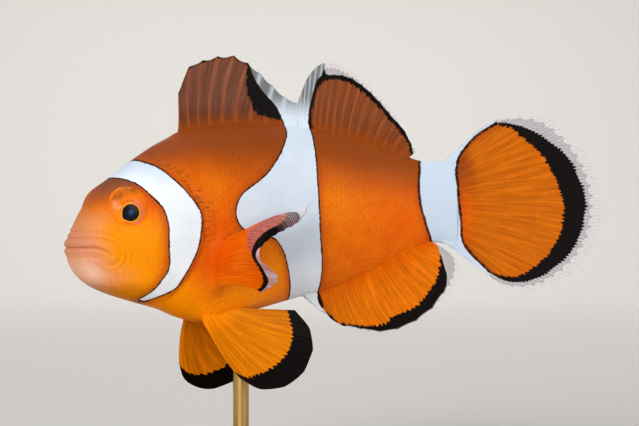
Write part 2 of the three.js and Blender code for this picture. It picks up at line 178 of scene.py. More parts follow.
# round patches of each pigment, and of painted shade and light: strength, middle, width
pigmentSpots = {
    # painted shade between the pectoral and pelvic fin roots
    "brown": [(0.3, (22.8, -12.0), (1.6, 1.3))],
    # the first patch is golden skin, also lightened as painted light where the pectoral fin casts its
    # shadow
    "golden": [(0.75, (33, -9), (4.5, 4.5)), (0.1, (22, 4), (4.0, 3.5)), (0.3, (46, 1.0), (4.2, 3.6))],
    "salmon": [(0.7, (4.4, -9.8), (3.0, 1.6))],
    "red": [(0.8, (21.5, -7.5), (3.2, 5.0)), (0.6, (11.0, 1.6), (3.0, 2.6))],
}
# the brown of the back sets in between these two heights
brownEdge = {
    "s": [8, 13, 20, 28, 35, 42, 50, 60],
    "from": [6.5, 5.0, 3.8, 1.5, 1.2, 2.4, 0.8, -1.0],
    "to": [11, 9.5, 11.5, 12.0, 11.5, 11.5, 9.5, 8.5],
}


def tintsAt(fish):
    # how much brown, gold, salmon and red pigment the skin has, from 0 to 1
    s, _, z = fish.T

    def withSpots(pigment, *amounts):
        # the most of the given amounts and the round patches
        spots = [most * spot(s, z, middle, wide) for most, middle, wide in pigmentSpots[pigment]]
        return np.max([*amounts, *spots], axis=0)

    brownFrom, brownTo = [np.interp(s, brownEdge["s"], brownEdge[end]) for end in ("from", "to")]
    forehead = smoothStep(0.0, 4.0, z - 0.35 * (s - 3)) * (1 - smoothStep(7, 10, s))
    crown = smoothStep(2.8, 5.2, z) * (1 - smoothStep(8, 11, s))
    browned = np.maximum(forehead, crown)
    brown = withSpots("brown", smoothStep(brownFrom, brownTo, z) * smoothStep(8, 12, s), 0.95 * browned)
    cheek = (1 - smoothStep(10, 15, s)) * (1 - smoothStep(-3.5, 2.5, z))
    belly = 0.85 * smoothStep(-7, -12.5, z) * (1 - smoothStep(30, 42, s))
    salmon = withSpots("salmon", 1 - smoothStep(1.6, 6.2, s + 0.3 * (z + 6.5) + 0.1 * np.abs(z + 8)))
    salmon = np.maximum(salmon * (1 - 0.7 * browned), 0.26 * browned)
    return brown, withSpots("golden", cheek, belly), salmon, withSpots("red", 0.25 * smoothStep(48, 58, s))


# mesh helpers

halfPatch = 0.0015  # half the width of a scale's or ray tip's place on the unwrap


def addGrid(name, cellsU, cellsV):
    # a flat grid to be shaped, with its two places from 0 to 1
    bpy.ops.object.select_all(action="DESELECT")
    bpy.ops.mesh.primitive_grid_add(x_subdivisions=cellsU, y_subdivisions=cellsV, size=1)
    piece = bpy.context.object
    piece.name = piece.data.name = name
    piece.data.uv_layers[0].name = "OFBake"
    flat = np.empty(len(piece.data.vertices) * 3)
    piece.data.vertices.foreach_get("co", flat)
    flat = flat.reshape(-1, 3)
    return piece, flat[:, 0] + 0.5, flat[:, 1] + 0.5


def storeVector(piece, name, columns):
    values = np.stack([np.broadcast_to(c, len(piece.data.vertices)) for c in columns], axis=1)
    layer = piece.data.attributes.new(name, "FLOAT_VECTOR", "POINT")
    layer.data.foreach_set("vector", values.astype(np.float32).ravel())


# towards the tail the white gets more painted shade, and its black line is wider
whiteShadeAndLineAt = {"s": [14, 30, 40, 58, 64], "amount": [0, 0.55, 0.6, 1, 1]}


def storeMarkings(
    piece, fish, white, tints=None, black=-9.0, fringe=0.0, ray=0.0, dark=0.0, rose=0.0, tone=1.0
):
    # white and black are depths in mm inside the white bands and black margins, the others amounts
    brown, golden, salmon, red = tintsAt(fish) if tints is None else tints
    s, _, z = fish.T
    whiteShadeAndLine = np.interp(s, whiteShadeAndLineAt["s"], whiteShadeAndLineAt["amount"])
    # less painted shade on the white low down, ahead of the tail
    whiteShadeAndLine *= 1 - 0.8 * smoothStep(-5, -12, z) * (1 - smoothStep(44, 54, s))
    # painted shade on top of the head band, which also widens its black line there
    whiteShadeAndLine = np.maximum(whiteShadeAndLine, 0.8 * smoothStep(3, 8, z) * (s < 20))
    storeVector(piece, "fishPlace", fish.T)
    storeVector(piece, "marks", (white, black, fringe))
    storeVector(piece, "tints", (brown, golden, salmon))
    storeVector(piece, "relief", (ray, red, dark))
    storeVector(piece, "shades", (tone, rose, whiteShadeAndLine))


# the rear edge of the head band
bandRear = {"z": [-9, -4, 0, 3, 6, 9], "s": [17.2, 18.4, 18.4, 16.9, 14.6, 11.2]}


def strokesBehindBand(fish):
    # where the short brown strokes lie
    s, _, z = fish.T
    gap = s - np.interp(z, bandRear["z"], bandRear["s"])
    amount = smoothStep(0.1, 0.5, gap) * (1 - smoothStep(1.4, 3.6, gap)) * smoothStep(-6.5, -3.5, z)
    back = 0.12 * smoothStep(3, 7, z) * smoothStep(12, 15, s) * (1 - smoothStep(26, 34, s))
    return np.maximum(0.6 * amount, back)


def paintedLightAndShade(fish):
    # painted shade and light: the crown, brow, lips and the jaw's underside are darkened, the belly and the
    # place in the pectoral fin's shadow lightened
    s, _, z = fish.T
    crown = smoothStep(0.2, 4.2, z - 0.3 * (s - 3)) * (1 - smoothStep(9, 12, s))
    brow = spot(s, z, (1.5, -0.2), (3.2, 3.4))
    belly = smoothStep(-6, -12, z) * (1 - smoothStep(34, 44, s))
    behindFin = spot(s, z, (33, -9), (4.0, 4.5))
    lips = spot(s, z, (0.6, -4.6), (1.8, 1.3))
    under = smoothStep(-9.8, -11.8, z) * (1 - smoothStep(9, 14, s))
    paintedShade = (1 - 0.48 * crown) * (1 - 0.2 * brow) * (1 - 0.12 * lips) * (1 - 0.34 * under)
    return paintedShade * (1 + 0.15 * belly) * (1 + 0.12 * behindFin)


def storeBodyMarkings(piece, fish, fringe=0.0):
    white = whiteDepth(fish[:, 0], fish[:, 2])
    storeMarkings(piece, fish, white, dark=strokesBehindBand(fish), fringe=fringe, tone=paintedLightAndShade(fish))


def placePoints(piece, fish):
    piece.data.vertices.foreach_set("co", bendToPose(fish).ravel())
    piece.data.update()


def makePiece(name, fish, faces):
    mesh = bpy.data.meshes.new(name)
    mesh.from_pydata(bendToPose(fish), [], faces)
    piece = bpy.data.objects.new(name, mesh)
    bpy.context.collection.objects.link(piece)
    return piece


def storeBakePlaces(piece, places):
    # one place on the unwrap for each vertex
    loopVertices = np.empty(len(piece.data.loops), np.int32)
    piece.data.loops.foreach_get("vertex_index", loopVertices)
    piece.data.uv_layers.new(name="OFBake").data.foreach_set("uv", places[loopVertices].ravel())


def inEditMode(piece, *steps):
    bpy.ops.object.select_all(action="DESELECT")
    piece.select_set(True)
    bpy.context.view_layer.objects.active = piece
    bpy.ops.object.mode_set(mode="EDIT")
    bpy.ops.mesh.select_all(action="SELECT")
    for step in steps:
        step()
    bpy.ops.object.mode_set(mode="OBJECT")


def closeSeams(piece):
    inEditMode(
        piece,
        lambda: bpy.ops.mesh.remove_doubles(threshold=0.001 * mm),
        lambda: bpy.ops.mesh.normals_make_consistent(inside=False),
    )
    bpy.ops.object.shade_smooth()


def finishPiece(piece, material, slotName, *nodes):
    piece.data.materials.clear()
    piece.data.materials.append(material)
    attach(piece, "root")
    if nodes:
        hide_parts(*nodes)
    return piece


# colours and materials


def hexColour(code):
    channels = [int(code[i : i + 2], 16) / 255 for i in (1, 3, 5)]
    linear = [c / 12.92 if c <= 0.04045 else ((c + 0.055) / 1.055) ** 2.4 for c in channels]
    return (*linear, 1.0)


def addNode(tree, kind, settings=None, inputs=None, output=0):
    # inputs are values, or outputs of other nodes to link from
    node = tree.nodes.new("ShaderNode" + kind)
    for key, value in (settings or {}).items():
        setattr(node, key, value)
    for key, value in (inputs or {}).items():
        if isinstance(value, bpy.types.NodeSocket):
            tree.links.new(value, node.inputs[key])
        else:
            node.inputs[key].default_value = value
    return node.outputs[output]


def newMaterial(name, **constants):
    material = bpy.data.materials.new(name)
    material.use_nodes = True
    shader = material.node_tree.nodes["Principled BSDF"]
    for key, value in constants.items():
        shader.inputs[key.replace("_", " ")].default_value = value
    return material, material.node_tree, shader


# node settings used again and again. Mix takes colours 6 and 7 by the amount 0, and MapRange brings 0 from
# between 1 and 2 to between 3 and 4.
inColour = {"data_type": "RGBA"}
softly = {"interpolation_type": "SMOOTHSTEP"}
add, multiply = {"operation": "ADD"}, {"operation": "MULTIPLY"}

skinLook = {
    "orange": "#E26A00",
    "deepOrange": "#DC6000",
    "gold": "#F89000",
    "brown": "#8B4012",
    "salmon": "#DC9069",
    "red": "#DC4E00",
    # the pale chin, and a painted highlight over the mouth
    "pale": "#F2CCB4",
    "streak": "#8A3A10",
    "edgeTint": "#A04414",
    "white": "#EEF4FA",
    # the white in painted shade, and in its faint random patches
    "whiteShade": "#C1D0E2",
    "veil": "#6A6E6A",
    "black": "#0D0908",
    "rose": "#9C4038",
    "fringe": "#CDBCC4",
    "fringeShade": "#CE8E80",
    "edgeWidth": 0.26,  # black line round each white band
}


def makeSkin(name, roughness, specular, bumpHeight, bumpPerMm, onFin):
    # wet fish skin: thin clear slime over pigment, IOR of water, soft highlights
    wet = {"IOR": 1.36, "Coat_Weight": 0.05, "Coat_Roughness": 0.22, "Coat_IOR": 1.33}
    material, tree, shader = newMaterial(name, Roughness=roughness, Specular_IOR_Level=specular, **wet)
    paint = {key: hexColour(code) for key, code in skinLook.items() if key != "edgeWidth"}
    place, finPlace, *stored = [
        addNode(tree, "Attribute", {"attribute_name": title}, {}, "Vector")
        for title in ("fishPlace", "finPlace", "marks", "tints", "relief", "shades")
    ]
    (white, black, fringe), (brown, golden, salmon), (ray, red, dark), (tone, rose, whiteShadeAndLine) = [
        [addNode(tree, "SeparateXYZ", {}, {0: vector}, k) for k in range(3)] for vector in stored
    ]
    # patches 3 mm across, and pigment cells drawn coarse at 0.4 mm so that they show
    cloud = addNode(tree, "TexNoise", {}, {"Vector": place, "Scale": 0.3, "Detail": 3.0})
    speckle = addNode(tree, "TexNoise", {}, {"Vector": place, "Scale": 2.4, "Detail": 4.0})
    cloudy = addNode(tree, "MapRange", softly, {0: cloud, 1: 0.35, 2: 0.65})
    nearWhite = addNode(tree, "MapRange", softly, {0: white, 1: -1.7, 2: 0.0, 3: 0.0, 4: 0.6})
    grains = addNode(tree, "MapRange", softly, {0: speckle, 1: 0.3, 2: 0.7, 3: -0.1, 4: 0.1})
    spread = addNode(tree, "Math", multiply, {0: grains, 1: brown})
    browned = addNode(tree, "Math", add, {0: brown, 1: spread})
    flesh = paint["deepOrange"]
    layers = {"orange": cloudy, "gold": golden, "red": red, "edgeTint": nearWhite}
    for tint, amount in (layers | {"brown": browned, "salmon": salmon}).items():
        flesh = addNode(tree, "Mix", inColour, {0: amount, 6: flesh, 7: paint[tint]}, 2)
    grain = addNode(tree, "MapRange", {}, {0: speckle, 1: 0.3, 2: 0.7, 3: 0.93, 4: 1.07})
    light = addNode(tree, "Math", multiply, {0: grain, 1: tone})
    # the white darkens in faint random patches, and more where painted shade is laid on it
    shaded = addNode(tree, "MapRange", {}, {0: cloud, 1: 0.35, 2: 0.65, 3: 0.0, 4: 0.16})
    shaded = addNode(tree, "Math", {"operation": "ADD", "use_clamp": True}, {0: whiteShadeAndLine, 1: shaded})
    whiteFill = addNode(tree, "Mix", inColour, {0: shaded, 6: paint["white"], 7: paint["whiteShade"]}, 2)
    if onFin:
        # pigment lies in lines along the rays, about 0.6 mm apart
        pastRoot = addNode(tree, "SeparateXYZ", {}, {0: finPlace}, 2)
        lined = addNode(tree, "Mapping", {}, {"Vector": finPlace, "Scale": (2.6, 0.14, 0.0)})
        streak = addNode(tree, "TexNoise", {}, {"Vector": lined, "Scale": 1.0, "Detail": 3.0})
        flesh = addNode(tree, "Mix", inColour, {0: rose, 6: flesh, 7: paint["rose"]}, 2)
        lines = addNode(tree, "MapRange", softly, {0: streak, 1: 0.32, 2: 0.68, 3: 0.78, 4: 1.1})
        lines = addNode(tree, "MapRange", {}, {0: pastRoot, 1: 0.0, 2: 1.0, 3: 1.0, 4: lines})
        # lighter along the rays: pale rays, partly a painted highlight on their ridges
        onRay = addNode(tree, "MapRange", {}, {0: ray, 1: 0.0, 2: 1.0, 3: 0.94, 4: 1.08})
        light = addNode(tree, "Math", multiply, {0: light, 1: lines})
        light = addNode(tree, "Math", multiply, {0: light, 1: onRay})
        whiteFill = addNode(tree, "Mix", inColour, {0: dark, 6: whiteFill, 7: paint["veil"]}, 2)
    else:
        # short brown strokes across the scales
        drawn = addNode(tree, "Mapping", {}, {"Vector": place, "Scale": (1.0, 0.8, 4.2)})
        strokes = {"Vector": drawn, "Scale": 1.0, "Detail": 4.0, "Distortion": 0.5}
        strokes = addNode(tree, "TexNoise", {}, strokes)
        strokes = addNode(tree, "MapRange", softly, {0: strokes, 1: 0.48, 2: 0.6})
        strokes = addNode(tree, "Math", multiply, {0: strokes, 1: dark})
        flesh = addNode(tree, "Mix", inColour, {0: strokes, 6: flesh, 7: paint["streak"]}, 2)
        # on the body this channel holds the pale chin and a painted highlight over the mouth
        flesh = addNode(tree, "Mix", inColour, {0: fringe, 6: flesh, 7: paint["pale"]}, 2)
    flesh = addNode(tree, "HueSaturation", {}, {"Value": light, "Color": flesh})
    wander = addNode(tree, "MapRange", {}, {0: cloud, 1: 0.3, 2: 0.7, 3: -0.06, 4: 0.06})
    wander = addNode(tree, "Math", add, {0: wander, 1: white})
    edge = addNode(tree, "MapRange", {}, {0: speckle, 1: 0.25, 2: 0.75, 3: -0.09, 4: 0.09})
    edge = addNode(tree, "Math", add, {0: edge, 1: wander})
    inside = addNode(tree, "MapRange", softly, {0: edge, 1: -0.04, 2: 0.04})
    colour = addNode(tree, "Mix", inColour, {0: inside, 6: flesh, 7: whiteFill}, 2)
    # the black line round a white band, wider towards the tail
    line = skinLook["edgeWidth"]
    line = addNode(tree, "MapRange", {}, {0: whiteShadeAndLine, 1: 0.6, 2: 1.0, 3: line, 4: line * 1.6})
    offLine = addNode(tree, "Math", {"operation": "MULTIPLY_ADD"}, {0: line, 1: 0.5, 2: edge})
    offLine = addNode(tree, "Math", {"operation": "ABSOLUTE"}, {0: offLine})
    offLine = addNode(tree, "Math", {"operation": "DIVIDE"}, {0: offLine, 1: line})
    onLine = addNode(tree, "MapRange", softly, {0: offLine, 1: 0.35, 2: 0.65, 3: 1.0, 4: 0.0})
    broken = addNode(tree, "MapRange", {}, {0: speckle, 1: 0.3, 2: 0.6, 3: 0.55, 4: 1.0})
    onLine = addNode(tree, "Math", multiply, {0: onLine, 1: broken})
    colour = addNode(tree, "Mix", inColour, {0: onLine, 6: colour, 7: paint["black"]}, 2)
    if onFin:
        # the black margin ends in small teeth between the rays
        teeth = addNode(tree, "Mapping", {}, {"Vector": finPlace, "Scale": (2.5, 0.35, 0.0)})
        teeth = addNode(tree, "TexNoise", {}, {"Vector": teeth, "Scale": 1.0, "Detail": 3.0})
        teeth = addNode(tree, "MapRange", {}, {0: teeth, 1: 0.3, 2: 0.7, 3: -0.26, 4: 0.26})
        teeth = addNode(tree, "Math", add, {0: teeth, 1: black})
        teeth = addNode(tree, "MapRange", softly, {0: teeth, 1: -0.1, 2: 0.1})
        colour = addNode(tree, "Mix", inColour, {0: teeth, 6: colour, 7: paint["black"]}, 2)
        pale = addNode(tree, "MapRange", softly, {0: streak, 1: 0.42, 2: 0.58})
        pale = addNode(tree, "Mix", inColour, {0: pale, 6: paint["fringeShade"], 7: paint["fringe"]}, 2)
        colour = addNode(tree, "Mix", inColour, {0: fringe, 6: colour, 7: pale}, 2)
    tree.links.new(colour, shader.inputs["Base Color"])
    pores = addNode(tree, "TexNoise", {}, {"Vector": place, "Scale": bumpPerMm, "Detail": 3.0})
    bump = addNode(tree, "Bump", {}, {"Height": pores, "Strength": 0.5, "Distance": bumpHeight * mm})
    tree.links.new(bump, shader.inputs["Normal"])
    return material


wetSkin = makeSkin("wetFishSkin", 0.42, 0.12, 0.04, 3.0, False)
finSkin = makeSkin("finSkin", 0.48, 0.07, 0.03, 4.0, True)

# clear fin membrane past the pigment: thin enough to see through, a little milky
milky = hexColour("#8E8590")
clearMembrane = newMaterial("clearFinMembrane", Roughness=0.4, IOR=1.36, Alpha=0.34, Base_Color=milky)[0]
# ray tips in the membrane: pale cartilage, finer than a hair, drawn 0.2 mm thick so that they show
pale = hexColour("#DED7DD")
rayTips = newMaterial("paleRayTips", Roughness=0.45, IOR=1.4, Alpha=0.85, Base_Color=pale)[0]
print("skin materials made")

# body skin

skin = {
    "rows": 380,
    "columns": 236,
    "coatDepth": 0.12,  # the scales stand this high over it
    "ridgePower": (0.84, 1.12),  # how pointed the sections are, at the head and behind it
    # two folds over the mouth: distance, depth and width of the groove, height and width of the ridge
    "mouthFolds": [(1.45, 0.17, 0.12, 0.1, 0.22), (2.35, 0.14, 0.14, 0.08, 0.25)],
    "nostril": (3.3, -0.4),
}
eye = {
    "middle": (7.6, 4.4, 0.9),
    "radius": 3.25,
    "front": 1.4,  # depth of the ball in front of its middle, and behind it
    "back": 2.3,
    "forward": 12.0,  # it looks this many degrees ahead, and up
    "upward": 10.0,
    "segments": 112,
    "rings": 80,
}
# the soft ring of skin round the eye
socket = {"out": 0.6, "blend": 0.6, "rim": 0.74, "groove": 0.09, "sunk": 1.0}
eyeTurn = np.radians([eye["forward"], eye["upward"]])
# the eye's own directions: back along the head, up, and out of the socket
eyeBack = np.array([np.cos(eyeTurn[0]), np.sin(eyeTurn[0]), 0])
eyeOut = np.array([-eyeBack[1] * np.cos(eyeTurn[1]), eyeBack[0] * np.cos(eyeTurn[1]), np.sin(eyeTurn[1])])
eyeUp = np.array([eyeBack[1] * np.sin(eyeTurn[1]), -eyeBack[0] * np.sin(eyeTurn[1]), np.cos(eyeTurn[1])])
mouthLine = roundedLine([(-1.5, -5.25), (0.6, -5.2), (1.9, -5.15), (3.1, -5.4), (4.0, -5.8), (4.65, -6.5)])
gillOpening = roundedLine(
    [(12.2, 15), (14.0, 9.5), (16.7, 4.2), (18.6, 0), (18.9, -4), (17.5, -8.4), (15.3, -12.4), (13.4, -17)]
)
gillCoverFront = roundedLine(
    [(13.6, 3.2), (11.6, 1.5), (10.9, -2.0), (10.6, -6.0), (11.4, -9.6), (13.2, -12)]
)


def reliefAt(s, y, z):
    # height of the modelled features over the plain body
    mouth = distanceToLine(mouthLine, s, z)
    lineZ = np.interp(s, mouthLine[:, 0], mouthLine[:, 1])
    above = smoothStep(-0.1, 0.25, z - lineZ)
    corner = smoothStep(1.2, 3.4, s)
    depth = 0.42 * (0.45 + 0.55 * smoothStep(0.0, 1.2, s)) * (1 - 0.6 * smoothStep(2.6, 4.4, s))
    height = 0.16 * hump(mouth - 0.5, 0.34) - depth * hump(mouth, 0.1)
    height += 0.2 * above * (1 - corner) * hump(mouth - 0.8, 0.5)  # upper lip
    folds = np.maximum(above, corner * 0.8) * smoothStep(-9.3, -7.5, z) * (1 - smoothStep(2.6, 3.8, mouth))
    for at, groove, narrow, ridge, wide in skin["mouthFolds"]:
        height += folds * (ridge * hump(mouth - at - 0.35, wide) - groove * hump(mouth - at, narrow))
    height -= 0.07 * above * hump(mouth - 0.62, 0.08)
    height += 0.06 * (1 - above) * (1 - corner) * hump(mouth - 0.7, 0.35)  # lower lip
    height -= 0.08 * (1 - above) * (1 - corner) * hump(mouth - 1.5, 0.3)  # crease under it
    nostril = np.hypot(s - skin["nostril"][0], z - skin["nostril"][1])
    height += 0.03 * hump(nostril - 0.3, 0.14) - 0.16 * hump(nostril, 0.16)
    cover = distanceToLine(gillOpening, s, z)
    behind = s > np.interp(z, gillOpening[::-1, 1], gillOpening[::-1, 0])
    onSide = smoothStep(8.5, 5.0, z) * smoothStep(-14.5, -11.5, z)
    step = np.where(behind, -0.16 * np.exp(-cover / 0.5), 0.2 * np.exp(-cover / 1.4))
    height += onSide * step
    height -= 0.07 * hump(distanceToLine(gillCoverFront, s, z), 0.35)
    lobe = np.hypot((s - 22.6) / 2.2, (z + 7.8) / 4.6)
    height += 0.55 * (1 - smoothStep(0.5, 1.25, lobe))
    pelvicBase = np.hypot((s - 23.0) / 2.6, (np.abs(y) - 2.4) / 1.5)
    height += 0.5 * hump(pelvicBase, 1.0) * smoothStep(-12, -14.5, z)
    dorsalBase = smoothStep(16.5, 20, s) * (1 - smoothStep(56, 61, s)) * (z > 0)
    analBase = smoothStep(40, 44, s) * (1 - smoothStep(59, 63, s)) * (z < 0)
    height += 0.45 * (dorsalBase + analBase) * hump(y, 1.3)
    return height


def bulgeEyes(fish):
    # the skin rises to a soft ring round each eye, and sinks under the eyeball
    side = np.abs(fish[:, 1])
    offset = np.stack([fish[:, 0], side, fish[:, 2]], axis=1) - eye["middle"]
    away = np.hypot(offset @ eyeBack, offset @ eyeUp)
    height = offset @ eyeOut
    ring = socket["out"] - 1.1 * np.clip(away - 3.0, 0, 9) ** 1.5
    mix = np.clip(0.5 + 0.5 * (ring - height) / socket["blend"], 0, 1)
    wanted = height * (1 - mix) + ring * mix + socket["blend"] * mix * (1 - mix)
    level = 1 - smoothStep(3.1, 4.6, away)
    wanted = wanted * (1 - level) + np.minimum(wanted, socket["rim"]) * level
    wanted -= socket["groove"] * hump(away - 3.7, 0.28) + socket["sunk"] * (1 - smoothStep(2.6, 3.0, away))
    lift = np.where(away < 6, wanted - height, 0) * smoothStep(1.0, 4.2, side) * smoothStep(6, 5, away)
    ones = np.ones(len(side))
    return fish + lift[:, None] * eyeOut * np.stack([ones, np.sign(fish[:, 1]), ones], axis=1)


def gridNormals(points):
    overU = np.gradient(points, axis=1)
    overV = np.gradient(points, axis=0)
    normals = np.cross(overU, overV)
    return normals / (np.linalg.norm(normals, axis=2, keepdims=True) + 1e-12)


body, bodyU, bodyV = addGrid("fish_skin", skin["rows"], skin["columns"])
section = alongRows(bodySections, bodyU)
angle = (bodyV - 0.25) * 2 * math.pi
across, up = np.cos(angle), np.sin(angle)
top = section[:, 1] - skin["coatDepth"]
bottom = section[:, 2] + skin["coatDepth"]
reach = np.where(up > 0, top - section[:, 4], section[:, 4] - bottom)
half = np.maximum(section[:, 3] - skin["coatDepth"], section[:, 3] * 0.5)
power = np.interp(section[:, 0], [5, 17], skin["ridgePower"])
plain = np.stack(
    [
        skin["coatDepth"] + section[:, 0] * (bodyLength - 2 * skin["coatDepth"]) / bodyLength,
        np.sign(across) * np.abs(across) ** power * half,
        section[:, 4] + up * np.maximum(reach, 0) * np.where(section[:, 0] > 0, 1, 0),
    ],
    axis=1,
)
gridShape = (skin["columns"] + 1, skin["rows"] + 1, 3)
plainNormals = gridNormals(plain.reshape(gridShape)).reshape(-1, 3)
fromMiddle = (plain - [bodyLength / 2, 0, -1.5]) * [0, 1, 1]
plainNormals *= np.sign(np.sum(plainNormals * fromMiddle, axis=1)).mean()
shaped = plain + plainNormals * reliefAt(*plain.T)[:, None]
shaped = bulgeEyes(shaped)
skinPoints = shaped.reshape(gridShape)
skinPoints[0] = skinPoints[-1] = (skinPoints[0] + skinPoints[-1]) / 2  # the seam under the belly meets
skinPoints[:, -1] = (skinPoints[:, -1] + skinPoints[::-1, -1]) / 2  # the tail end is pinched shut
skinNormals = gridNormals(skinPoints)
skinNormals *= np.sign(np.sum(skinNormals * plainNormals.reshape(gridShape)))
placePoints(body, shaped)
# the chin is pale, and a spot over the mouth is a painted highlight
jawS, jawZ = shaped[:, 0] - 2.3, shaped[:, 2] + 8.9
paleChinAndHighlight = 0.6 * spot(0.78 * jawS - 0.62 * jawZ, 0.62 * jawS + 0.78 * jawZ, (0, 0), (2.4, 1.1))
paleChinAndHighlight += 0.12 * spot(shaped[:, 0], shaped[:, 2], (2.6, -0.9), (1.6, 1.6))
storeBodyMarkings(body, shaped, fringe=paleChinAndHighlight)
closeSeams(body)
finishPiece(
    body, wetSkin, "skin", "head", "lower_jaw", "gill_cover_left", "gill_cover_right", "trunk", "tail_stalk"
)
print("body skin:", len(body.data.polygons), "faces")

# scales: small plates that overlap backwards

scale = {
    "round": 66,  # plates round the body
    "firstRow": 11.2,
    "lastRow": 65.2,
    "pitch": 0.98,  # between rows on the deepest part
    "overlap": 1.9,
    "lift": 0.017,  # rear edge over the skin
    "cellsAcross": 5,
    "cellsAlong": 4,
}


def sampleSkin(s, v):
    u = np.interp(s, skinPoints[:, :, 0].mean(axis=0), np.linspace(0, 1, skin["rows"] + 1))
    atU, atV = u * skin["rows"], (v % 1) * skin["columns"]
    i = np.minimum(atU.astype(int), skin["rows"] - 1)
    j = np.minimum(atV.astype(int), skin["columns"] - 1)
    fu, fv = (atU - i)[:, None], (atV - j)[:, None]

    def between(grid):
        low = grid[j, i] * (1 - fu) + grid[j, i + 1] * fu
        high = grid[j + 1, i] * (1 - fu) + grid[j + 1, i + 1] * fu
        return low * (1 - fv) + high * fv

    return between(skinPoints), between(skinNormals)


def modelOneScale():
    # rounded rear edge, slightly domed, its outer ring turned down as a rim
    plate, across, along = addGrid("oneScale", scale["cellsAcross"], scale["cellsAlong"])
    x, y = across * 2 - 1, along * 2 - 1
    inner = 1 - 2 / scale["cellsAcross"]
    rim = (np.abs(x) > 0.99) | (y > 0.99)
    x = np.where(np.abs(x) > 0.99, np.sign(x), x / inner * 0.93)
    y = np.where(y > 0.99, 1.0, (y + 1) / (2 - 2 / scale["cellsAlong"]) * 1.94 - 1)
    narrow = np.sqrt(1 - 0.55 * np.clip(y, 0, 1) ** 2)
    lift = (y + 1) / 2 * (1 - 0.25 * x * x)
    lift = np.where(rim, -0.25, lift)
    faces = [tuple(p.vertices) for p in plate.data.polygons]
    bpy.data.objects.remove(plate)
    return x * narrow, y - 0.16 * x * x * (y > 0), lift, np.array(faces)


plateX, plateY, plateLift, plateFaces = modelOneScale()
ringTop = skinPoints[:, int(0.5 * skin["rows"])]
arc = np.concatenate([[0], np.cumsum(np.linalg.norm(np.diff(ringTop, axis=0), axis=1))])
arc /= arc[-1]
girth = np.linalg.norm(np.diff(skinPoints, axis=0), axis=2).sum(axis=0)
rowPlaces = [scale["firstRow"]]
while rowPlaces[-1] < scale["lastRow"]:
    here = np.interp(rowPlaces[-1], skinPoints[:, :, 0].mean(axis=0), girth) / girth.max()
    rowPlaces.append(rowPlaces[-1] + scale["pitch"] * (0.42 + 0.58 * here))
rowPlaces = np.array(rowPlaces)
rowPitch = np.gradient(rowPlaces)
rowIndex, roundIndex = np.meshgrid(np.arange(len(rowPlaces)), np.arange(scale["round"]), indexing="ij")
rowIndex, roundIndex = rowIndex.ravel(), roundIndex.ravel()
rootS = rowPlaces[rowIndex]
rootAround = (roundIndex + 0.5 * (rowIndex % 2)) / scale["round"]
rng = np.random.default_rng(7)
rootS = rootS + rng.uniform(-0.05, 0.05, len(rootS))
plateS = rootS[:, None] + plateY * rowPitch[rowIndex][:, None] * scale["overlap"] / 2
plateAround = rootAround[:, None] + plateX * 0.62 / scale["round"]
plateV = np.interp(plateAround % 1, arc, np.linspace(0, 1, len(arc)))
surface, outward = sampleSkin(np.clip(plateS, 0.5, 65.6).ravel(), plateV.ravel())
rootPoints = surface.reshape(len(rootS), -1, 3).mean(axis=1)
fade = (0.15 + 0.85 * smoothStep(15, 23, rootS)) * (0.5 + 0.5 * smoothStep(66, 58, rootS))
fade *= 1 - 0.85 * smoothStep(-0.4, 0.4, whiteDepth(rootPoints[:, 0], rootPoints[:, 2]))
fade *= rng.uniform(0.55, 1.25, len(rootS))
lift = (plateLift * scale["lift"] * fade[:, None]).ravel()
scalePoints = surface + outward * lift[:, None]
count = len(rootS)
firstVertex = np.arange(count)[:, None, None] * len(plateX)
faces = (plateFaces[None] + firstVertex).reshape(-1, plateFaces.shape[1])
scales = makePiece("fish_scales", scalePoints, faces)
storeBodyMarkings(scales, scalePoints)
rootV = np.interp(rootAround % 1, arc, np.linspace(0, 1, len(arc)))
placeU = rootS[:, None] / bodyLength + plateY * halfPatch
placeV = rootV[:, None] + plateX * halfPatch
storeBakePlaces(scales, np.stack([placeU.ravel(), placeV.ravel()], axis=1))
scales.data.shade_smooth()
finishPiece(scales, wetSkin, "skin")
print("scales:", count, "plates,", len(scales.data.polygons), "faces")

# fins

finRootDepth = 1.6  # how far a median fin starts inside the body


def wavyRays(rows, wave, part):
    # root and tip of each ray, its middle set back by bow, and a wave across the fin
    rays = []
    for i, (rootS, rootZ, tipS, tipZ, bow) in enumerate(rows):
        sway = wave * math.sin(2 * math.pi * i / (len(rows) - 1))
        middle = ((rootS + tipS) / 2 - bow, sway * part, (rootZ + tipZ) / 2)
        rays.append((rootS, 0, rootZ, *middle, tipS, sway, tipZ))
    return rays


def medianRays(rows, column, wave):
    # column 1 is the back, 2 the belly
    inward = -finRootDepth if column == 1 else finRootDepth
    rows = [(rootS, float(sectionAt(rootS, column)) + inward, *tip) for rootS, *tip in rows]
    return wavyRays(rows, wave, 1 / 2)


def tailFinRays(rows, wave):
    return wavyRays([(*row, 0) for row in rows], wave, 1 / 3)


def mirrored(rays):
    return [tuple(-v if k % 3 == 1 else v for k, v in enumerate(ray)) for ray in rays]


def finSurface(rays, a, t):
    rows = alongRows(rays, a)
    root, middle, tip = rows[:, 0:3], rows[:, 3:6], rows[:, 6:9]
    control = 2 * middle - (root + tip) / 2
    t = t[:, None]
    return (1 - t) ** 2 * root + 2 * t * (1 - t) * control + t * t * tip


def finFrame(rays, a, t):
    # place on the fin's middle sheet, direction across the rays, and the way out of the sheet
    across = finSurface(rays, a + 0.003, t) - finSurface(rays, a - 0.003, t)
    along = finSurface(rays, a, t + 0.003) - finSurface(rays, a, t - 0.003)
    across /= np.linalg.norm(across, axis=1, keepdims=True) + 1e-9
    out = np.cross(across, along)
    return finSurface(rays, a, t), across, out / (np.linalg.norm(out, axis=1, keepdims=True) + 1e-9)


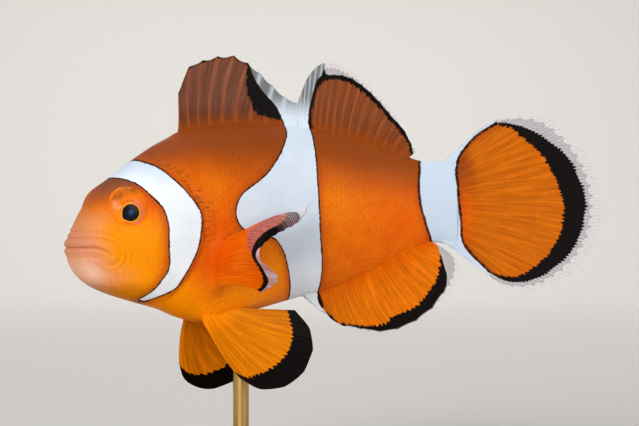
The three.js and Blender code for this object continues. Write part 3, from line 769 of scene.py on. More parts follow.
def rayRidge(place, t, branching):
    # 1 on a ray and 0 between two. Each ray parts in two, and in two again, towards the rim.
    away = np.abs(place - np.round(place))
    width = 0.15
    if branching:
        away = np.abs(away - 0.25 * smoothStep(0.22, 0.62, t))
        away = np.abs(away - 0.125 * smoothStep(0.5, 0.85, t))
        width = 0.15 - 0.1 * smoothStep(0.15, 0.8, t)
    return hump(away, width)


# A fin's orange part ends at inner, and its black margin at outer, both in s and z. On a paired fin the
# black lies between blackFrom and blackTo, parts of each ray's length. rayCount rays are drawn, and the rim
# falls back by notch between them. pigments are the amounts of brown, gold, salmon and red.
pelvic = {"rayCount": 7, "branching": True, "fingers": 0.3, "notch": 0.01, "across": 200}
fins = {
    "dorsal_fin_spiny": {
        "rays": medianRays([
            (19.2, 18.8, 18.4, 0.1), (20.6, 20.8, 22.5, 0.2), (22.3, 23.4, 23.7, 0.4),
            (24.3, 26.0, 24.4, 0.6), (26.5, 28.8, 24.6, 0.7), (28.9, 31.2, 23.5, 0.7),
            (31.4, 33.4, 21.9, 0.5), (34.0, 35.5, 20.0, 0.3), (36.6, 37.6, 18.3, 0.1),
            (39.6, 39.95, 17.4, 0.0),
        ], 1, 0.25),
        "rayCount": 10,
        "branching": False,
        "notch": 0.03,
        "across": 200,
        "pigments": (0.95, 0.0, 0.22, 0.0),
        "haze": 0.05,  # the thin sheet looks greyer towards its edge
        "tone": 0.52,
        "root": 1.4,
        "rayTone": 0.45,
        "band": middleBand,
        "patch": [
            (31.0, 24.6), (30.9, 21.5), (30.7, 20.1), (31.2, 18.4), (31.8, 16.7), (32.7, 15.4),
            (34.2, 15.0), (36.4, 14.6), (38.5, 14.6), (38.5, 24.6),
        ],
    },
    "dorsal_fin_soft": {
        "rays": medianRays([
            (39.5, 39.8, 17.4, 0.0), (40.7, 41.6, 21.6, 0.0), (42.1, 43.9, 23.8, 0.1),
            (44.6, 46.6, 23.9, 0.2), (47.6, 50.3, 21.8, 0.4), (50.9, 54.0, 18.2, 0.5),
            (54.0, 57.2, 13.9, 0.4), (57.0, 59.3, 9.9, 0.2),
        ], 1, 0.35),
        "rayCount": 18,
        "branching": False,
        "notch": 0.02,
        "across": 240,
        "pigments": (0.95, 0.0, 0.15, 0.0),
        "tone": 0.72,
        "root": 1.4,
        "rayTone": 0.25,
        "wider": 0.26,  # the black margin grows inwards by this
        "band": middleBand,
        "outer": [
            (42.4, 11.0), (41.8, 13.1), (41.6, 14.5), (41.8, 16.3), (42.6, 19.4), (43.1, 20.7),
            (43.7, 21.7), (44.6, 22.2), (46.7, 22.2), (48.2, 21.9), (49.4, 21.3), (51.4, 19.8),
            (53.4, 17.8), (55.3, 15.5), (57.2, 13.5), (58.5, 11.0), (59.2, 7.0), (42.4, 7.0),
        ],
        "inner": [
            (42.5, 11.0), (42.0, 13.2), (41.8, 14.6), (42.0, 16.2), (42.8, 19.2), (43.4, 20.5),
            (44.3, 21.3), (45.4, 21.6), (46.5, 21.5), (48.0, 21.3), (48.9, 20.8), (50.9, 19.3),
            (53.0, 17.4), (55.0, 15.1), (57.0, 13.0), (58.2, 10.9), (59.0, 7.0), (42.6, 7.0),
        ],
        "tips": [(0.08, 0.36, 5, 0.2), (0.36, 1.0, 56, 0.06)],  # from, to, how many, half width
    },
    "anal_fin": {
        "rays": medianRays([
            (39.2, 43.5, -15.5, 0.0), (44.7, 46.5, -17.6, 0.2), (46.8, 50.6, -19.3, 0.4),
            (49.6, 55.2, -19.5, 0.6), (52.6, 59.7, -17.7, 0.7), (55.4, 63.5, -14.6, 0.7),
            (57.4, 65.9, -10.7, 0.6), (58.8, 65.8, -7.5, 0.3), (59.8, 63.2, -5.4, 0.1),
        ], 2, 0.35),
        "rayCount": 13,
        "branching": True,
        "fingers": 0.25,
        "notch": 0.02,
        "across": 240,
        "pigments": (0.05, 0.3, 0.0, 0.0),
        "tone": 0.93,
        "root": 1.4,
        "band": middleBand,
        "outer": [
            (42.9, -8.0), (43.1, -12.0), (43.6, -14.4), (44.7, -16.2), (46.0, -17.4), (47.1, -18.1),
            (48.3, -18.1), (51.1, -18.7), (53.9, -19.1), (56.5, -18.6), (59.0, -17.5), (62.0, -15.2),
            (63.4, -13.1), (64.1, -12.2), (64.4, -11.2), (64.2, -9.8), (63.7, -8.0), (63.1, -6.4),
            (62.6, -5.2), (61.5, -3.0), (43.0, -3.0),
        ],
        "inner": [
            (43.1, -8.0), (43.3, -12.6), (44.3, -15.3), (45.6, -16.4), (47.0, -17.5), (48.3, -17.7),
            (51.1, -18.0), (52.8, -18.1), (54.3, -17.6), (55.3, -16.7), (58.1, -15.5), (59.6, -14.6),
            (60.6, -13.4), (61.4, -12.2), (62.2, -11.2), (62.6, -10.0), (62.9, -8.4), (63.0, -6.4),
            (62.7, -5.0), (61.5, -3.0), (43.2, -3.0),
        ],
        "tips": [(0.1, 1.0, 80, 0.05)],
    },
    "tail_fin": {
        "rays": tailFinRays([
            (62.8, 7.6, 68.6, 12.8), (64.0, 7.1, 73.0, 15.4), (64.5, 6.0, 79.5, 15.5),
            (64.7, 4.6, 84.7, 11.8), (64.8, 3.1, 87.9, 6.6), (64.8, 1.6, 88.9, 1.0),
            (64.8, 0.1, 87.9, -4.4), (64.7, -1.4, 84.6, -8.9), (64.5, -2.9, 79.6, -12.0),
            (64.0, -4.0, 74.0, -12.0), (62.8, -4.2, 69.6, -8.9),
        ], 0.6),
        "rayCount": 17,
        "branching": True,
        "fingers": 0.2,
        "notch": 0.015,
        "across": 340,
        "pigments": (0.14, 0.3, 0.0, 0.0),
        "tone": 0.79,
        "band": tailBand,
        "outer": [
            (66.2, 4.0), (66.4, 8.5), (67.9, 11.1), (69.5, 12.8), (70.5, 13.9), (71.7, 14.4), (72.9, 14.6),
            (74.2, 14.5), (75.4, 14.2), (77.9, 13.4), (80.6, 11.7), (83.0, 9.8), (84.3, 8.4), (85.3, 6.0),
            (86.4, 3.5), (86.7, 1.7), (86.5, -0.2), (86.2, -1.7), (85.7, -3.6), (84.1, -6.6), (82.1, -8.4),
            (79.3, -10.4), (76.4, -11.2), (74.5, -11.2), (72.9, -10.7), (71.7, -10.1), (69.5, -8.5),
            (67.5, -6.2), (66.4, -3.0),
        ],
        "inner": [
            (64.5, 4.0), (65.0, 8.3), (66.6, 11.1), (69.3, 13.0), (70.9, 13.8), (72.1, 14.0), (73.3, 13.8),
            (74.6, 13.4), (76.6, 11.7), (78.8, 9.8), (79.9, 8.4), (80.7, 6.8), (81.5, 5.4), (82.5, 2.3),
            (82.8, 1.0), (82.6, -0.4), (82.4, -2.2), (81.9, -3.9), (80.3, -6.5), (79.1, -7.7), (77.8, -8.7),
            (76.6, -9.6), (75.2, -10.1), (73.3, -10.1), (72.1, -9.8), (70.3, -9.1), (67.2, -6.6),
            (65.0, -3.0),
        ],
        "tips": [(0.0, 1.0, 96, 0.1)],
    },
    "pelvic_fin_left": {
        "rays": [
            (21.6, -2.4, -15.4, 22.4, -6.2, -20.8, 24.6, -9.0, -25.1),
            (21.9, -2.3, -15.2, 24.0, -6.2, -21.4, 28.0, -9.0, -26.8),
            (22.3, -2.2, -15.0, 26.4, -5.9, -21.6, 32.2, -8.5, -27.0),
            (22.8, -2.2, -14.9, 28.9, -5.4, -20.9, 36.4, -7.5, -25.8),
            (23.4, -2.2, -14.8, 31.0, -4.7, -19.6, 39.4, -6.2, -23.2),
            (24.0, -2.2, -14.7, 32.1, -4.0, -18.0, 40.6, -5.0, -20.4),
            (24.6, -2.2, -14.6, 32.2, -3.5, -16.4, 40.0, -4.2, -17.6),
            (25.2, -2.2, -14.6, 31.6, -3.2, -14.9, 37.9, -3.6, -15.2),
        ],
        **pelvic,
        "pigments": (0.05, 0.8, 0.0, 0.0),
        "tone": 0.85,
        "blackFrom": [0.88, 0.83, 0.77, 0.76, 0.77, 0.78, 0.8, 0.88],
    },
    "pelvic_fin_right": {
        "rays": [
            (21.4, 2.4, -15.4, 22.4, 5.8, -20.4, 23.6, 8.0, -23.8),
            (21.7, 2.3, -15.2, 23.0, 6.2, -21.8, 25.0, 8.8, -26.5),
            (22.1, 2.2, -15.0, 24.4, 6.2, -22.4, 28.3, 8.7, -28.1),
            (22.6, 2.2, -14.9, 26.7, 5.7, -21.8, 32.0, 7.7, -27.2),
            (23.2, 2.2, -14.8, 28.8, 5.0, -20.6, 35.2, 6.6, -24.8),
            (23.8, 2.2, -14.7, 30.4, 4.2, -18.9, 37.6, 5.4, -21.8),
            (24.4, 2.2, -14.6, 31.1, 3.6, -17.3, 38.6, 4.4, -18.8),
            (25.0, 2.2, -14.6, 31.2, 3.2, -16.1, 38.0, 3.7, -16.4),
        ],
        **pelvic,
        # the far fin lies in shade: its extra brown is painted shade, and its raised tone painted light
        # against its shadow
        "pigments": (0.2, 0.7, 0.0, 0.0),
        "tone": 1.2,
        "blackFrom": [0.8, 0.76, 0.76, 0.77, 0.77, 0.78, 0.8, 0.86],
    },
}
pectoralRays = [
    (21.9, -6.4, -5.0, 28.2, -10.0, -1.5, 38.4, -9.0, 1.4),
    (21.8, -6.4, -5.4, 29.8, -11.5, -0.5, 34.8, -12.0, -1.2),
    (21.7, -6.4, -6.0, 27.2, -12.5, -1.4, 30.3, -14.0, -2.6),
    (21.7, -6.3, -6.6, 24.7, -13.0, -2.6, 26.4, -15.5, -3.8),
    (21.7, -6.2, -7.2, 23.3, -13.0, -4.1, 23.5, -16.5, -5.5),
    (21.8, -6.0, -8.0, 22.8, -13.0, -6.0, 23.5, -17.0, -7.3),
    (22.0, -5.8, -8.9, 23.3, -12.3, -8.0, 26.7, -16.5, -9.0),
    (22.3, -5.4, -9.9, 24.2, -10.8, -9.8, 28.1, -15.0, -10.5),
    (22.6, -5.0, -10.8, 24.8, -8.8, -11.0, 27.4, -11.5, -12.1),
]
for side, rays in (("left", pectoralRays), ("right", mirrored(pectoralRays))):
    fins["pectoral_fin_" + side] = {
        "rays": rays,
        "rayCount": 16,
        "branching": True,
        "notch": 0.02,
        "across": 280,
        "pigments": (0.0, 0.05, 0.0, 0.4),
        "tone": 1.12,
        # painted light on the lower rays, which face down into shade
        "paintedLightLow": 0.25,
        "ridge": 0.06,
        "pinkFrom": [0.4, 0.42, 0.42, 0.42, 0.52, 0.7, 1.5, 1.5, 1.5],
        "blackFrom": [0.49, 0.64, 0.82, 0.8, 0.76, 0.68, 0.73, 0.79, 0.88],
        "blackTo": [0.68, 0.92, 1.1, 1.1, 0.96, 0.8, 0.8, 0.87, 0.96],
    }


def rayTable(look, key, a):
    # parts of each ray's length, and past its tip where nothing is given
    return alongRows(np.array(look.get(key, [2.0, 2.0]))[:, None], a)[:, 0]


def solidReach(look, columnsA):
    # how far out the pigmented sheet goes on each ray: past it there is only clear membrane
    if "outer" not in look:
        return np.ones(len(columnsA))
    steps = np.linspace(0, 1, 241)
    a, t = np.meshgrid(columnsA, steps, indexing="ij")
    s, _, z = finSurface(look["rays"], a.ravel(), t.ravel()).T
    depth = np.maximum(depthInside(look["outer"], s, z), whiteDepth(s, z, look["band"]))
    ends = np.array([steps[np.nonzero(row > 0)[0].max(initial=0)] for row in depth.reshape(a.shape)])
    ends = np.clip(ends, 0.3, 1.0)
    padded = np.pad(ends, 3, mode="edge")
    return np.convolve(padded, np.ones(7) / 7, mode="valid")


def blendPigments(look, fish, rootHeight):
    # the body's own pigments at the root turn into the fin's
    away = smoothStep(0.3, 4.0, rootHeight)
    return [own * (1 - away) + fin * away for own, fin in zip(tintsAt(fish), look["pigments"])]


def addFoldedGrid(name, across, along):
    # a grid folded over the fin's rim, with places across and along the rays, and the side, 1 or -1
    piece, a, v = addGrid(name, across, along)
    outward = 1 - np.abs(2 * v - 1)
    # a corner joins the point beside it, so that no flap of two faces is left there
    atRim = (outward < 1e-6) | (outward > 1 - 1e-6)
    a = np.where(atRim, np.clip(a, 1 / across, 1 - 1 / across), a)
    return piece, a, outward, np.where(v < 0.5 - 1e-6, 1.0, -1.0)


sheet = {
    "along": 64,  # cells on each side
    "thin": 0.07,  # at the rim
    "thicker": 0.1,  # grows by this towards the root
    "ridge": 0.09,
    "rimWidth": 0.02,  # the rim and the two ends are rounded off over these parts of the fin
    "endWidth": 0.012,
}


def makeFinSheet(name, look):
    piece, a, outward, side = addFoldedGrid(name + "_skin", look["across"], sheet["along"] * 2)
    columnsA = np.linspace(0, 1, look["across"] + 1)
    ends = solidReach(look, columnsA)
    rayPlace = a * (look["rayCount"] - 1)
    notched = look["notch"] * np.abs(np.sin(math.pi * rayPlace)) * smoothStep(0.4, 1.0, outward)
    t = outward * np.interp(a, columnsA, ends) * (1 - notched)
    middle, _, out = finFrame(look["rays"], a, t)
    reach = np.interp(a, columnsA, rayLengths(look, columnsA))
    ray = rayRidge(rayPlace, t, look["branching"])
    rootHeight = t * reach - finRootDepth
    flesh = look.get("root", 0.9) * np.exp(-np.maximum(rootHeight, 0) / 1.1)
    thick = flesh + sheet["thin"] + sheet["thicker"] * (1 - outward)
    thick += look.get("ridge", sheet["ridge"]) * (1 - 0.6 * outward) * ray
    rimFade = np.sqrt(np.clip((1 - outward) / sheet["rimWidth"], 0, 1))
    endFade = np.sqrt(np.clip(np.minimum(a, 1 - a) / sheet["endWidth"], 0, 1))
    thick = np.where(outward < 1e-6, 0, thick * rimFade * endFade)
    fish = middle + out * (side * thick / 2)[:, None]
    s, _, z = fish.T
    white = whiteDepth(s, z, look["band"]) if "band" in look else np.full(len(fish), -9.0)
    veil = smoothStep(1.2, 5.4, rootHeight) * (0.95 - 0.55 * ray) * ("dorsal" in name)
    outlines = {key: depthInside(look[key], s, z) for key in ("inner", "outer", "patch") if key in look}
    if "outer" in look:
        black = np.minimum(look.get("wider", 0.0) - outlines["inner"], 0.5 + outlines["outer"])
        fringe = 0.0
    elif "patch" in look:
        black = outlines["patch"] - 0.1
        black = np.maximum(black, (t - 1) * reach + 0.35)
        fringe = look["haze"] * smoothStep(0, 5, rootHeight) * (black < -0.3)
    else:
        black, past = [(t - rayTable(look, key, a)) * reach for key in ("blackFrom", "blackTo")]
        black = np.minimum(black, 0.3 - past)
        fringe = smoothStep(-0.1, 0.1, past) * smoothStep(0.3, 0.4, a)
    black -= look.get("fingers", 0.0) * (ray - 0.3)  # the orange runs out along the rays
    black = np.minimum(black, -4 * white - 0.3)
    tints = blendPigments(look, fish, rootHeight)
    rose = np.zeros(len(fish))
    if "pinkFrom" in look:
        rose = 0.85 * smoothStep(-0.4, 0.4, (t - rayTable(look, "pinkFrom", a)) * reach)
        # pale stripes stand across the upper margin, and the longest rays end in clear white
        across = np.abs((s + 0.54 * z) / 0.62 % 1 - 0.5)
        stripe = hump(across, 0.15) * smoothStep(0.55, 0.4, a)
        flecked = rose * np.maximum(ray * 0.3, stripe * 0.5)
        fringe = np.maximum(fringe, flecked * smoothStep(0.1, -0.3, black))
        upperTip = smoothStep(0.32, 0.16, a) * smoothStep(0.5, 0.62, t)
        fringe = np.maximum(fringe, (0.2 + 0.6 * stripe) * upperTip * (past < 0))
        upperEdge = smoothStep(0.07, 0.02, a) * smoothStep(0.36, 0.46, t)
        fringe = np.maximum(fringe, (0.25 + 0.6 * stripe) * upperEdge * (past < 0))
        white = np.minimum(past, 12 * (0.4 - a))
    placePoints(piece, fish)
    tone = 1 + (look["tone"] - 1) * smoothStep(0.2, 3.0, rootHeight)
    # the rays are drawn lighter: pale rays, partly a painted highlight
    tone *= 1 + look.get("rayTone", 0.0) * (ray - 0.5) * smoothStep(0.2, 1.5, rootHeight)
    # painted light on the lower rays of a pectoral fin, which face down into shade
    tone *= 1 + look.get("paintedLightLow", 0.0) * smoothStep(0.7, 0.92, a)
    storeMarkings(piece, fish, white, tints, black, fringe, ray, veil, rose, tone)
    storeVector(piece, "finPlace", (a * rimLength(look), t * reach, smoothStep(0.0, 2.5, rootHeight)))
    closeSeams(piece)
    return finishPiece(piece, finSkin, "fin", name)


def rayLengths(look, columnsA):
    steps = np.linspace(0, 1, 25)
    a, t = np.meshgrid(columnsA, steps, indexing="ij")
    path = finSurface(look["rays"], a.ravel(), t.ravel()).reshape(*a.shape, 3)
    return np.linalg.norm(np.diff(path, axis=1), axis=2).sum(axis=1)


def rimLength(look):
    rim = finSurface(look["rays"], np.linspace(0, 1, 81), np.ones(81))
    return float(np.linalg.norm(np.diff(rim, axis=0), axis=1).sum())


margin = {
    "across": 160,  # cells along the rim, and places where the reach of the pigment is measured
    "along": 16,
    "thick": 0.05,
    "reach": 0.94,  # of the rays' length, less ragged between two rays
    "ragged": 0.03,
    "overlap": 0.02,  # starts this far inside the pigmented sheet
    "least": 0.012,
}


def makeMembrane(name, look):
    # the clear margin, one thin closed sheet
    piece, a, outward, side = addFoldedGrid(name + "_margin", margin["across"], margin["along"])
    columnsA = np.linspace(0, 1, margin["across"] + 1)
    start = np.interp(a, columnsA, solidReach(look, columnsA)) - margin["overlap"]
    ragged = margin["ragged"] * np.abs(np.sin(2 * math.pi * a * (look["rayCount"] - 1)))
    t = start + np.maximum(margin["reach"] - ragged - start, margin["least"]) * outward
    middle, _, out = finFrame(look["rays"], a, t)
    thick = margin["thick"] * np.sqrt(np.clip(np.minimum(outward, 1 - outward) * 4, 0, 1))
    thick = np.where((outward < 1e-6) | (a < 1e-6) | (a > 1 - 1e-6), 0, thick)
    placePoints(piece, middle + out * (side * thick / 2)[:, None])
    closeSeams(piece)
    bpy.ops.object.shade_smooth_by_angle(angle=0.6)
    return finishPiece(piece, clearMembrane, "fin")


bristle = {"steps": 8, "taper": 0.6, "halfDepth": 0.07, "shortest": 0.5}


def makeRayTips(name, look, rng):
    # thin tapered bristles that carry on past the pigmented sheet
    steps = bristle["steps"]
    columnsA = np.linspace(0, 1, margin["across"] + 1)
    reachA = rayLengths(look, columnsA)
    a0, wide = [], []
    for fromA, toA, count, halfWidth in look["tips"]:
        spread = (np.arange(count) + 0.5 + rng.uniform(-0.12, 0.12, count)) / count
        a0 += list(fromA + (toA - fromA) * spread)
        wide += [halfWidth] * count
    a0, wide = np.array(a0), np.array(wide)
    start = np.interp(a0, columnsA, solidReach(look, columnsA)) - margin["overlap"]
    stop = 1 - np.abs(rng.normal(0, 0.01, len(a0)))
    long = (stop - start) * np.interp(a0, columnsA, reachA) > bristle["shortest"]
    a0, wide, start, stop = a0[long], wide[long], start[long], stop[long]
    f = np.linspace(0, 1, steps + 1)
    a = np.clip(a0[:, None] + rng.normal(0, 0.0012, len(a0))[:, None] * f, 0, 1)
    t = start[:, None] + (stop - start)[:, None] * f
    middle, across, out = finFrame(look["rays"], a.ravel(), t.ravel())
    width = (wide[:, None] * (1 - bristle["taper"] * f)).reshape(-1, 1)
    depth = np.minimum(width, bristle["halfDepth"])
    corners = [middle + across * width, middle + out * depth, middle - across * width, middle - out * depth]
    fish = np.stack(corners, axis=1).reshape(-1, 3)
    ring = 4 * np.arange((steps + 1) * len(a0)).reshape(len(a0), steps + 1)
    low, high = ring[:, :-1].ravel(), ring[:, 1:].ravel()
    faces = [(low + k, low + (k + 1) % 4, high + (k + 1) % 4, high + k) for k in range(4)]
    faces += [(end, end + 1, end + 2, end + 3) for end in (ring[:, 0], ring[:, -1])]
    faces = np.concatenate([np.stack(corner, axis=1) for corner in faces])
    piece = makePiece(name + "_ray_tips", fish, faces)
    around = np.tile(np.array([[1, 0], [0, 1], [-1, 0], [0, -1]]) * halfPatch, (len(fish) // 4, 1))
    root = np.stack([np.repeat(a0, (steps + 1) * 4), np.repeat(start / 2, (steps + 1) * 4)], axis=1)
    storeBakePlaces(piece, root + around)
    inEditMode(piece, lambda: bpy.ops.mesh.normals_make_consistent(inside=False))
    bpy.ops.object.shade_smooth()
    return finishPiece(piece, rayTips, "fin")


rng = np.random.default_rng(11)
for name, look in fins.items():
    fin = makeFinSheet(name, look)
    extra = []
    if "tips" in look:
        extra = [makeMembrane(name, look), makeRayTips(name, look, rng)]
    print(name, len(fin.data.polygons), "faces", [len(piece.data.polygons) for piece in extra])

# eyes

eyeLook = {
    "iris": "#EE7406",
    "gold": "#F98C04",
    "ring": "#FFB01A",
    "red": "#E24E10",
    "brown": "#9C5210",
    "pinkAndHighlight": "#E88C84",
    "pupil": "#08080D",
    "pupilReflection": "#1F3C6C",
    "pupilRadius": (1.34, 1.27),
    "pupilAt": (-0.1, -1.1),  # from the middle of the eye: back, up
}


def makeEyeMaterial():
    # cornea over a pigmented iris: a hard clear coat gives the wet point of light
    wet = {"IOR": 1.38, "Specular_IOR_Level": 0.15, "Coat_Weight": 0.15, "Coat_Roughness": 0.05}
    material, tree, shader = newMaterial("clearEye", Roughness=0.4, **wet)
    paint = {key: hexColour(code) for key, code in eyeLook.items() if isinstance(code, str)}
    place, rings, tints = [
        addNode(tree, "Attribute", {"attribute_name": title}, {}, "Vector")
        for title in ("fishPlace", "eyeRings", "eyeTints")
    ]
    fromPupil, pinkAndHighlight, red = [addNode(tree, "SeparateXYZ", {}, {0: rings}, k) for k in range(3)]
    golden, brown, _ = [addNode(tree, "SeparateXYZ", {}, {0: tints}, k) for k in range(3)]
    fleck = addNode(tree, "TexNoise", {}, {"Vector": place, "Scale": 1.6, "Detail": 5.0})
    patchy = addNode(tree, "MapRange", softly, {0: fleck, 1: 0.35, 2: 0.65, 3: 0.45, 4: 1.2})
    brown, red, pinkAndHighlight = [
        addNode(tree, "Math", multiply, {0: amount, 1: patchy}) for amount in (brown, red, pinkAndHighlight)
    ]
    ring = addNode(tree, "MapRange", softly, {0: fromPupil, 1: 0.05, 2: 0.16, 3: 1.0, 4: 0.0})
    pupil = addNode(tree, "MapRange", softly, {0: fromPupil, 1: -0.03, 2: 0.04, 3: 1.0, 4: 0.0})
    # painted reflection: the middle of the pupil turns blue
    paintedReflection = addNode(tree, "MapRange", softly, {0: fromPupil, 1: -1.25, 2: -0.6, 3: 1.0, 4: 0.0})
    iris = paint["iris"]
    for tint, amount in {"gold": golden, "brown": brown, "red": red, "pinkAndHighlight": pinkAndHighlight, "ring": ring}.items():
        iris = addNode(tree, "Mix", inColour, {0: amount, 6: iris, 7: paint[tint]}, 2)
    black = addNode(tree, "Mix", inColour, {0: paintedReflection, 6: paint["pupil"], 7: paint["pupilReflection"]}, 2)
    colour = addNode(tree, "Mix", inColour, {0: pupil, 6: iris, 7: black}, 2)
    tree.links.new(colour, shader.inputs["Base Color"])
    return material


clearEye = makeEyeMaterial()


def makeEye(name, side):
    bpy.ops.object.select_all(action="DESELECT")
    bpy.ops.mesh.primitive_uv_sphere_add(segments=eye["segments"], ring_count=eye["rings"], radius=1)
    ball = bpy.context.object
    ball.name = ball.data.name = name + "_ball"
    points = np.empty(len(ball.data.vertices) * 3)
    ball.data.vertices.foreach_get("co", points)
    points = points.reshape(-1, 3)
    # the sphere's pole looks outwards
    wide, high = points[:, 0] * eye["radius"], points[:, 1] * eye["radius"]
    out = points[:, 2] * np.where(points[:, 2] > 0, eye["front"], eye["back"])
    back, up = wide - eyeLook["pupilAt"][0], high - eyeLook["pupilAt"][1]
    radius = eyeLook["pupilRadius"]
    away = (np.hypot(back / radius[0], up / radius[1]) - 1) * radius[1]
    away -= 0.16 * spot(back, up, (-1.05, -0.7), (0.4, 0.4))  # a slight notch in its lower front
    cornea = 0.2 * (1 - smoothStep(0.2, 1.1, away)) - 0.03 * hump(away - 0.1, 0.12)
    out += np.where(points[:, 2] > 0, cornea, 0)
    place = eye["middle"] + np.outer(wide, eyeBack) + np.outer(high, eyeUp) + np.outer(out, eyeOut)
    fish = place * [1, side, 1]
    placePoints(ball, fish)
    middle = np.hypot(wide, high)
    behind = smoothStep(-0.3, 0.9, back)
    pinkAndHighlight = behind * (0.75 * hump(away - 0.42, 0.07) + 0.9 * hump(away - 0.76, 0.09))
    # a painted highlight: a small light pink streak in front of the pupil
    pinkAndHighlight += 0.45 * spot(back, up, (-1.75, 0.7), (0.36, 0.13)) * (away > 0.15)
    red = 0.8 * hump(away - 0.26, 0.1) * (0.35 + 0.65 * smoothStep(0.8, -0.8, up - 0.6 * back))
    golden = smoothStep(-0.4, -2.3, high)
    # the top of the eyeball is brown under the orbit's rim, partly its own colour, partly painted shade
    brown = 0.8 * smoothStep(0.9, 2.2, high - 0.45 * wide) * smoothStep(3.15, 2.8, middle)
    brown += 0.7 * hump(away - 0.55, 0.13) * smoothStep(0.7, 1.5, up)
    storeVector(ball, "fishPlace", fish.T)
    storeVector(ball, "eyeRings", (away, pinkAndHighlight, red))
    storeVector(ball, "eyeTints", (golden, brown, 0.0))
    closeSeams(ball)
    return finishPiece(ball, clearEye, "eye", name)


for name, side in (("eye_left", -1), ("eye_right", 1)):
    makeEye(name, side)
print("eyes made")

# stand

standLook = {
    "wood": "#4A2D1B",
    "lightWood": "#6E4830",
    "pore": "#2E1A10",
    "brass": "#C29A58",
    "brightBrass": "#D0A968",
}
standPaint = {key: hexColour(code) for key, code in standLook.items()}


def makeWood():
    # turned walnut under satin oil: open grain 0.5 mm wide in lines a few mm long
    material, tree, shader = newMaterial("oiledWalnut", Roughness=0.42, IOR=1.5)
    place = addNode(tree, "TexCoord", {}, {}, "Object")
    rings = addNode(tree, "Mapping", {}, {"Vector": place, "Scale": (22.0, 190.0, 190.0)})
    grain = addNode(tree, "TexNoise", {}, {"Vector": rings, "Scale": 1.0, "Detail": 3.0, "Distortion": 0.6})
    fine = addNode(tree, "Mapping", {}, {"Vector": place, "Scale": (120.0, 1900.0, 1900.0)})
    pores = addNode(tree, "TexNoise", {}, {"Vector": fine, "Scale": 1.0, "Detail": 2.0})
    dark = addNode(tree, "MapRange", softly, {0: grain, 1: 0.35, 2: 0.65})
    colour = addNode(tree, "Mix", inColour, {0: dark, 6: standPaint["wood"], 7: standPaint["lightWood"]}, 2)
    pore = addNode(tree, "MapRange", softly, {0: pores, 1: 0.52, 2: 0.68, 3: 0.0, 4: 0.55})
    colour = addNode(tree, "Mix", inColour, {0: pore, 6: colour, 7: standPaint["pore"]}, 2)
    tree.links.new(colour, shader.inputs["Base Color"])
    bump = addNode(tree, "Bump", {"invert": True}, {"Height": pore, "Strength": 0.4, "Distance": 0.03 * mm})
    tree.links.new(bump, shader.inputs["Normal"])
    return material


def makeBrass():
    # satin brass rod, drawn and lacquered: warm metal with faint long scratches
    material, tree, shader = newMaterial("satinBrass", Roughness=0.3, Metallic=1.0)
    place = addNode(tree, "TexCoord", {}, {}, "Object")
    drawn = addNode(tree, "Mapping", {}, {"Vector": place, "Scale": (2500.0, 2500.0, 90.0)})
    scratch = addNode(tree, "TexNoise", {}, {"Vector": drawn, "Scale": 1.0, "Detail": 2.0})
    dull, bright = standPaint["brass"], standPaint["brightBrass"]
    colour = addNode(tree, "Mix", inColour, {0: scratch, 6: dull, 7: bright}, 2)
    tree.links.new(colour, shader.inputs["Base Color"])
    rough = addNode(tree, "MapRange", {}, {0: scratch, 1: 0.3, 2: 0.7, 3: 0.27, 4: 0.34})
    tree.links.new(rough, shader.inputs["Roughness"])
    return material


for node, makeFinish in {"stand_base": makeWood, "stand_rod": makeBrass, "stand_collar": makeBrass}.items():
    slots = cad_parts[node].data.materials
    slots.clear()
    slots.append(makeFinish())
print("stand finished")

# floor, light and camera

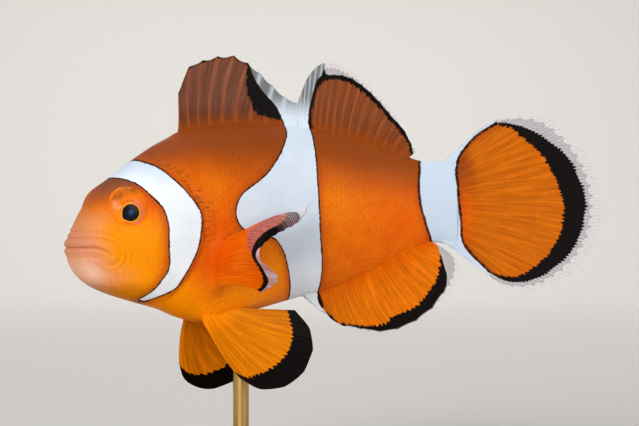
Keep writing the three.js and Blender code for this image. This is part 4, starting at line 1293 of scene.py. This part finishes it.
floorLook = {"flat": 760.0, "sweep": 520.0, "steps": 20}
bpy.ops.object.select_all(action="DESELECT")
bpy.ops.mesh.primitive_circle_add(vertices=96, radius=floorLook["flat"] * mm, fill_type="NGON")
floor = bpy.context.object
floor.name = floor.data.name = "floor"
bpy.ops.object.mode_set(mode="EDIT")
bpy.ops.mesh.select_mode(type="EDGE")
turns = np.linspace(0, math.pi / 2, floorLook["steps"] + 1)
for before, after in zip(turns[:-1], turns[1:]):
    # the edge is pulled out and up in a round sweep
    wide = [floorLook["flat"] + floorLook["sweep"] * math.sin(turn) for turn in (before, after)]
    rise = floorLook["sweep"] * (math.cos(before) - math.cos(after)) * mm
    bpy.ops.mesh.extrude_region_move(TRANSFORM_OT_translate={"value": (0, 0, rise)})
    grow = wide[1] / wide[0]
    bpy.ops.transform.resize(value=(grow, grow, 1), center_override=(0, 0, 0))
# the disc has gone up with its edge, and its first copy stays as the floor
bpy.ops.mesh.delete(type="ONLY_FACE")
bpy.ops.object.mode_set(mode="OBJECT")
bpy.ops.object.shade_smooth()
floor.data.materials.append(newMaterial("palePaper", Roughness=0.85, Base_Color=hexColour("#CDCAC6"))[0])


fishMiddle = (-5, -3, 42)


def addLight(name, place, size, watts, tint):
    bpy.ops.object.light_add(type="AREA", location=[v * mm for v in place])
    lamp = bpy.context.object
    lamp.name = name
    lamp.data.size = size * mm
    lamp.data.energy = watts
    lamp.data.color = tint
    east, north, rise = np.array(fishMiddle) - np.array(place)
    tilt = math.atan2(math.hypot(east, north), -rise)
    lamp.rotation_euler = (tilt, 0, math.atan2(north, east) - math.pi / 2)


addLight("keyLight", (-620, -730, 430), 420, 6.9, (1.0, 0.99, 0.97))
addLight("fillLight", (330, -700, 260), 380, 1.5, (0.97, 0.98, 1.0))
addLight("topLight", (0, 60, 1400), 1300, 5.8, (1.0, 1.0, 1.0))
addLight("backLight", (330, 1000, 620), 500, 4.5, (1.0, 0.98, 0.96))

world = bpy.data.worlds.new("studio")
world.use_nodes = True
background = world.node_tree.nodes["Background"]
background.inputs["Color"].default_value = (0.8, 0.83, 0.86, 1)
background.inputs["Strength"].default_value = 0.3
bpy.context.scene.world = world

view = {
    "azimuth": 20.0,  # the camera stands this far round towards the head
    "distance": 360.0,
    "target": (-0.67, -0.86, 42.0),
    "lens": 128.38,
}
turn = math.radians(view["azimuth"])
bpy.ops.object.camera_add()
camera = bpy.context.object
camera.name = "camera"
camera.location = (
    (view["target"][0] - view["distance"] * math.sin(turn)) * mm,
    (view["target"][1] - view["distance"] * math.cos(turn)) * mm,
    view["target"][2] * mm,
)
camera.rotation_euler = (math.pi / 2, 0, -turn)
camera.data.lens = view["lens"]
camera.data.sensor_width = 36.0
camera.data.clip_start = 0.01
bpy.context.scene.camera = camera
bpy.context.scene.view_settings.view_transform = "Standard"
print("stage made")
